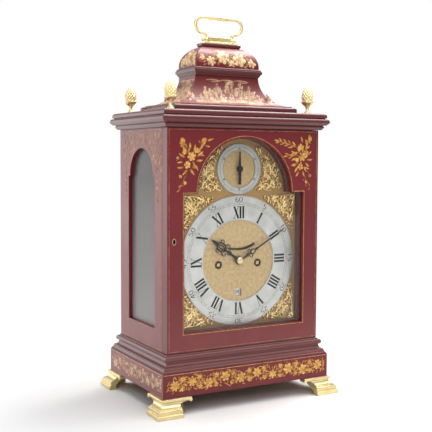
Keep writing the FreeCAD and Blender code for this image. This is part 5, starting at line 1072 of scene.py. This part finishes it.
def dome(half):
    """How far out the dome stands at a height: an arc of a circle about a point inside it."""
    return lambda v: half - DOME_INSET + np.sqrt(np.clip(DOME_RADIUS ** 2 - (v - DOME_LEVEL) ** 2, 0, None))


def bush(u, v, radius, dice):
    """Short leaves at random in a disc, each pointing up and leaning over more towards the sides."""
    rows = []
    for angle, share in zip(dice.uniform(0, 360, 16), np.sqrt(dice.uniform(0, 1, 16))):
        heading = 90 - 56 * share * abs(math.cos(math.radians(angle)))
        rows += leaf(*away(u, v, angle, share * radius * 0.8), heading, radius * dice.uniform(0.55, 0.9),
                     dice.uniform(-40, 40), 0.3)
    return rows


def roof_scene(span, seed):
    """Broad low banks with bushes and trees, and long drifts of cloud above."""
    dice = np.random.default_rng(seed)
    rows = []
    for share in np.linspace(-1.05, 1.05, 9):
        u = share * span
        rows += leaf(u - 11, BANKS + dice.uniform(-0.8, 1.2), 8, 24, -16, 0.11)
        rows += bush(u + dice.uniform(-3, 3), BUSHES, dice.uniform(5.0, 7.0), dice)
    for share, height in ((-0.66, 397), (-0.36, 401), (0.02, 406), (0.30, 402), (0.62, 398)):
        u = share * span * 0.95
        rows += [(u, TRUNKS, 90, 8, -8, height - TRUNKS, 0.9, 0.3, STEM)]
        for aside, below, size in ((0, 0, 7.5), (-5, 5, 5.5), (5, 4, 5.5)):
            rows += bush(u + aside, height - below, size, dice)
    for share in (-0.55, 0.0, 0.55):
        u = share * span * 0.7
        rows += leaf(u - 12, CLOUDS[0], 6, 24, -16, 0.04) + leaf(u - 6, CLOUDS[1], -4, 18, 14, 0.04)
    return kept(rows, lambda u, v: (v > SCENE_LOW) & (v < SCENE_HIGH) & (abs(u) < span * 1.2))


def dome_flowers(span, seed):
    """Open flowers side by side with long leaves between them."""
    dice = np.random.default_rng(seed)
    rows = []
    for share, height, size in ((-0.16, 445.5, 9.4), (0.48, 443, 9.4), (-0.66, 439, 6.4), (0.16, 437, 5.0),
                                (0.98, 439, 6.0), (-1.0, 444, 4.0)):
        u = share * span
        for angle in np.arange(13) * 27.7 + dice.uniform(0, 27):
            rows += leaf(*away(u, height, angle, size * dice.uniform(0.9, 1.15)),
                         angle + dice.uniform(-30, 30), size * dice.uniform(0.6, 1.1),
                         dice.uniform(-60, 60), 0.13)
        rows += blossom(u, height, size, int(dice.integers(6, 8)), dice.uniform(0, 72), 0.6)
    return kept(rows, lambda u, v: (v > 432.5) & (v < 456) & (abs(u) < span * 1.2 - (v - 433) * 0.4))


for side, turn in SIDES:
    facing, across = (1, 0) if turn % 180 == 0 else (0, 1)
    span = DOME_HALF[across]
    slope, bulge = roof(ROOF_FOOT[facing], ROOF_NECK[facing]), dome(DOME_HALF[facing])
    flourish("roof_scene_" + side, roof_scene(span * 1.15, 31 + turn % 5), wall(turn, slope), faded_gold,
             faded_gold, "case")
    flourish("dome_flowers_" + side, dome_flowers(span * 0.8, 41 + turn % 5), wall(turn, bulge), dome_gold,
             dome_leaf, "case")


# Finials, cast in brass and turned: a stepped foot, a waisted stem, a cup of leaves and a scaly fruit, each
# with a spigot pushed into the cornice.
FINIAL_OUTLINE = np.array([
    (0, 4.7), (1.4, 4.7), (1.9, 4.1), (2.6, 4.2), (3.2, 3.0), (4.6, 2.2), (7.2, 1.9), (8.6, 2.1), (9.2, 3.4),
    (9.8, 2.9), (10.6, 3.8), (12.6, 6.2), (15.0, 8.0), (16.4, 8.1), (17.0, 6.0), (18.0, 6.6), (21, 7.4),
    (24, 7.4), (27, 6.7), (30, 5.4), (33, 3.5), (35, 1.6), (36, 0.05)])


def fruit_finial(rows=150, columns=120):
    """A turned outline with leaves and scales: the radius at a height and angle is the outline's, plus eight
    ridged leaves round the cup and, on the fruit, pyramids where two sets of spirals cross."""
    height = np.linspace(0, 36, rows)[:, None]
    turn = full_turn(columns)[None]
    outline = np.interp(height, *FINIAL_OUTLINE.T)
    cup = np.clip((height - 10.2) / 3, 0, 1) * (height < 17.2)
    leaves = cup * (0.9 * np.abs(np.cos(4 * turn)) ** 0.6 - 0.6) * (0.4 + 0.6 * (height - 10) / 7)
    fruit = np.clip(height - 17.4, 0, 1) * np.clip((35.6 - height) / 3, 0, 1)
    first = (5 * turn / np.pi + height * 0.2) % 1
    second = (5 * turn / np.pi - height * 0.2) % 1
    scales = fruit * 1.9 * ((1 - np.abs(2 * first - 1)) * (1 - np.abs(2 * second - 1))) ** 0.6
    radius = np.minimum(outline + leaves + (scales - 1.1 * fruit) * np.clip(outline / 5, 0.2, 1), 8.2)
    return np.stack([radius * np.cos(turn), radius * np.sin(turn), np.broadcast_to(height, radius.shape)], -1)


FINIAL_X, FINIAL_Y, FINIAL_LOW = 101.0, 61.05, 373.0
finial = fruit_finial()
finial_spots = np.array([(x * FINIAL_X, y * FINIAL_Y, FINIAL_LOW) for x in (-1, 1) for y in (-1, 1)])
finials = piece("fruit_finials", finial[None] + finial_spots[:, None, None], capped(*finial.shape[:2], 4),
                gilt, "case", crease=35)
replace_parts(finials, "corner_finials")


# Carrying handle, cast and filed brass: a moulded plate on the cap, a bar with a stud and a ball at each end,
# and a bail whose round wire swells in the middle for the hand and turns on the studs.
dress(gilt, "handle_base", "handle_bail")
FILLET_ENDS, FILLET_HEIGHTS, FILLET_FACE = (-16.8, 16.8), (467.0, 472.8), 4.0
fillet_turn = np.linspace(-np.pi / 2, np.pi / 2, 9)
fillets = np.array([[[(x, face * (FILLET_FACE + 0.6 * math.cos(turn)), height + 0.7 * math.sin(turn))
                      for turn in fillet_turn] for x in FILLET_ENDS]
                    for face in (-1, 1) for height in FILLET_HEIGHTS])
piece("handle_fillets", fillets, capped(*fillets.shape[1:3], 4), gilt, "case", crease=50)
BALL_RADIUS, BALL_X, BALL_HEIGHT = 2.3, 23.9, 470.0
ball_run, ball_turn = np.linspace(0, np.pi, 17)[:, None], full_turn(24)[None]
ball = BALL_RADIUS * np.stack(np.broadcast_arrays(np.cos(ball_run), np.sin(ball_run) * np.cos(ball_turn),
                                                  np.sin(ball_run) * np.sin(ball_turn)), -1)
ball_spots = np.array([(-BALL_X, 0, BALL_HEIGHT), (BALL_X, 0, BALL_HEIGHT)])
piece("stud_balls", ball[None] + ball_spots[:, None, None], quads(*ball.shape[:2], True, 2), gilt,
      "case")


# The white studio: a floor that runs off to white, broad soft lamps, and the camera where the photograph was
# taken. The floor keeps the clock's shadow near it.
paper = Finish("studio_paper")
paper_path = paper.add("ShaderNodeLightPath", {}, {}, "Is Camera Ray")
paper_gloss = paper.add("ShaderNodeLightPath", {}, {}, "Is Glossy Ray")
paper_far = paper.add("ShaderNodeVectorMath", {"operation": "LENGTH"}, {0: paper.spot()}, "Value")
paper_share = ((paper_far - 0.22) * 2.4).held() * (paper_path + paper_gloss).held()
paper_shade = paper.add("ShaderNodeBsdfDiffuse", {}, {"Color": (0.88, 0.88, 0.88, 1)})
paper_light = 1 + 0.45 * paper_gloss
paper_white = paper.add("ShaderNodeEmission", {}, {"Color": (1, 1, 1, 1), "Strength": paper_light})
paper_mixed = paper.add("ShaderNodeMixShader", {}, {0: paper_share, 1: paper_shade, 2: paper_white})
paper.add("ShaderNodeOutputMaterial", {}, {"Surface": paper_mixed})
floor_mesh = bpy.data.meshes.new("studio_floor")
floor_mesh.from_pydata([(-3, -3, 0), (3, -3, 0), (3, 3, 0), (-3, 3, 0)], [], [(0, 1, 2, 3)])
floor_mesh.materials.append(paper.material)
floor = placed("studio_floor", floor_mesh)

studio = Finish("studio", bpy.data.worlds)
bpy.context.scene.world = studio.material
studio_path = studio.add("ShaderNodeLightPath", {}, {}, "Is Camera Ray")
studio_gloss = studio.add("ShaderNodeLightPath", {}, {}, "Is Glossy Ray")
studio_share = 0.13 + 0.87 * studio_path + 0.47 * studio_gloss
studio_white = studio.add("ShaderNodeBackground", {}, {"Color": (1, 1, 1, 1), "Strength": studio_share})
studio.add("ShaderNodeOutputWorld", {}, {"Surface": studio_white})


def lamp(name, spot, aim, power, wide, tall):
    """A rectangular soft lamp that points at a spot."""
    light = bpy.data.lights.new(name, "AREA")
    light.shape = "RECTANGLE"
    light.size = wide
    light.size_y = tall
    light.energy = power
    thing = placed(name, light)
    thing.location = spot
    back = np.array(spot, float) - np.array(aim, float)
    thing.rotation_euler = (math.atan2(math.hypot(back[0], back[1]), back[2]), 0,
                            math.atan2(back[1], back[0]) + math.pi / 2)


lamp("overhead", (0.4, -0.3, 1.7), (0.4, -0.3, 0), 40, 2.2, 2.4)
lamp("top", (0.62, 0.1, 1.5), (0, 0, 0.4), 13, 0.7, 0.7)
lamp("key", (-1.3, -1.9, 1.4), (0, 0, 0.2), 15, 1.0, 1.0)
lamp("card", (-1.3, 1.6, 0.5), (0, 0, 0.2), 11, 2.0, 1.0)

FOCAL_PIXELS, PHOTO_PIXELS, SENSOR_WIDTH = 835.294, 432, 36
view = bpy.data.cameras.new("photo_view")
view.lens = FOCAL_PIXELS / PHOTO_PIXELS * SENSOR_WIDTH
view.sensor_width = SENSOR_WIDTH
view.clip_start = 0.01
camera = placed("photo_view", view)
camera.location = (-0.5485, -0.9801, 0.3131)
camera.rotation_euler = (math.pi / 2 - 0.0683, -0.004, -0.5074)
bpy.context.scene.camera = camera
bpy.context.scene.view_settings.view_transform = "Standard"
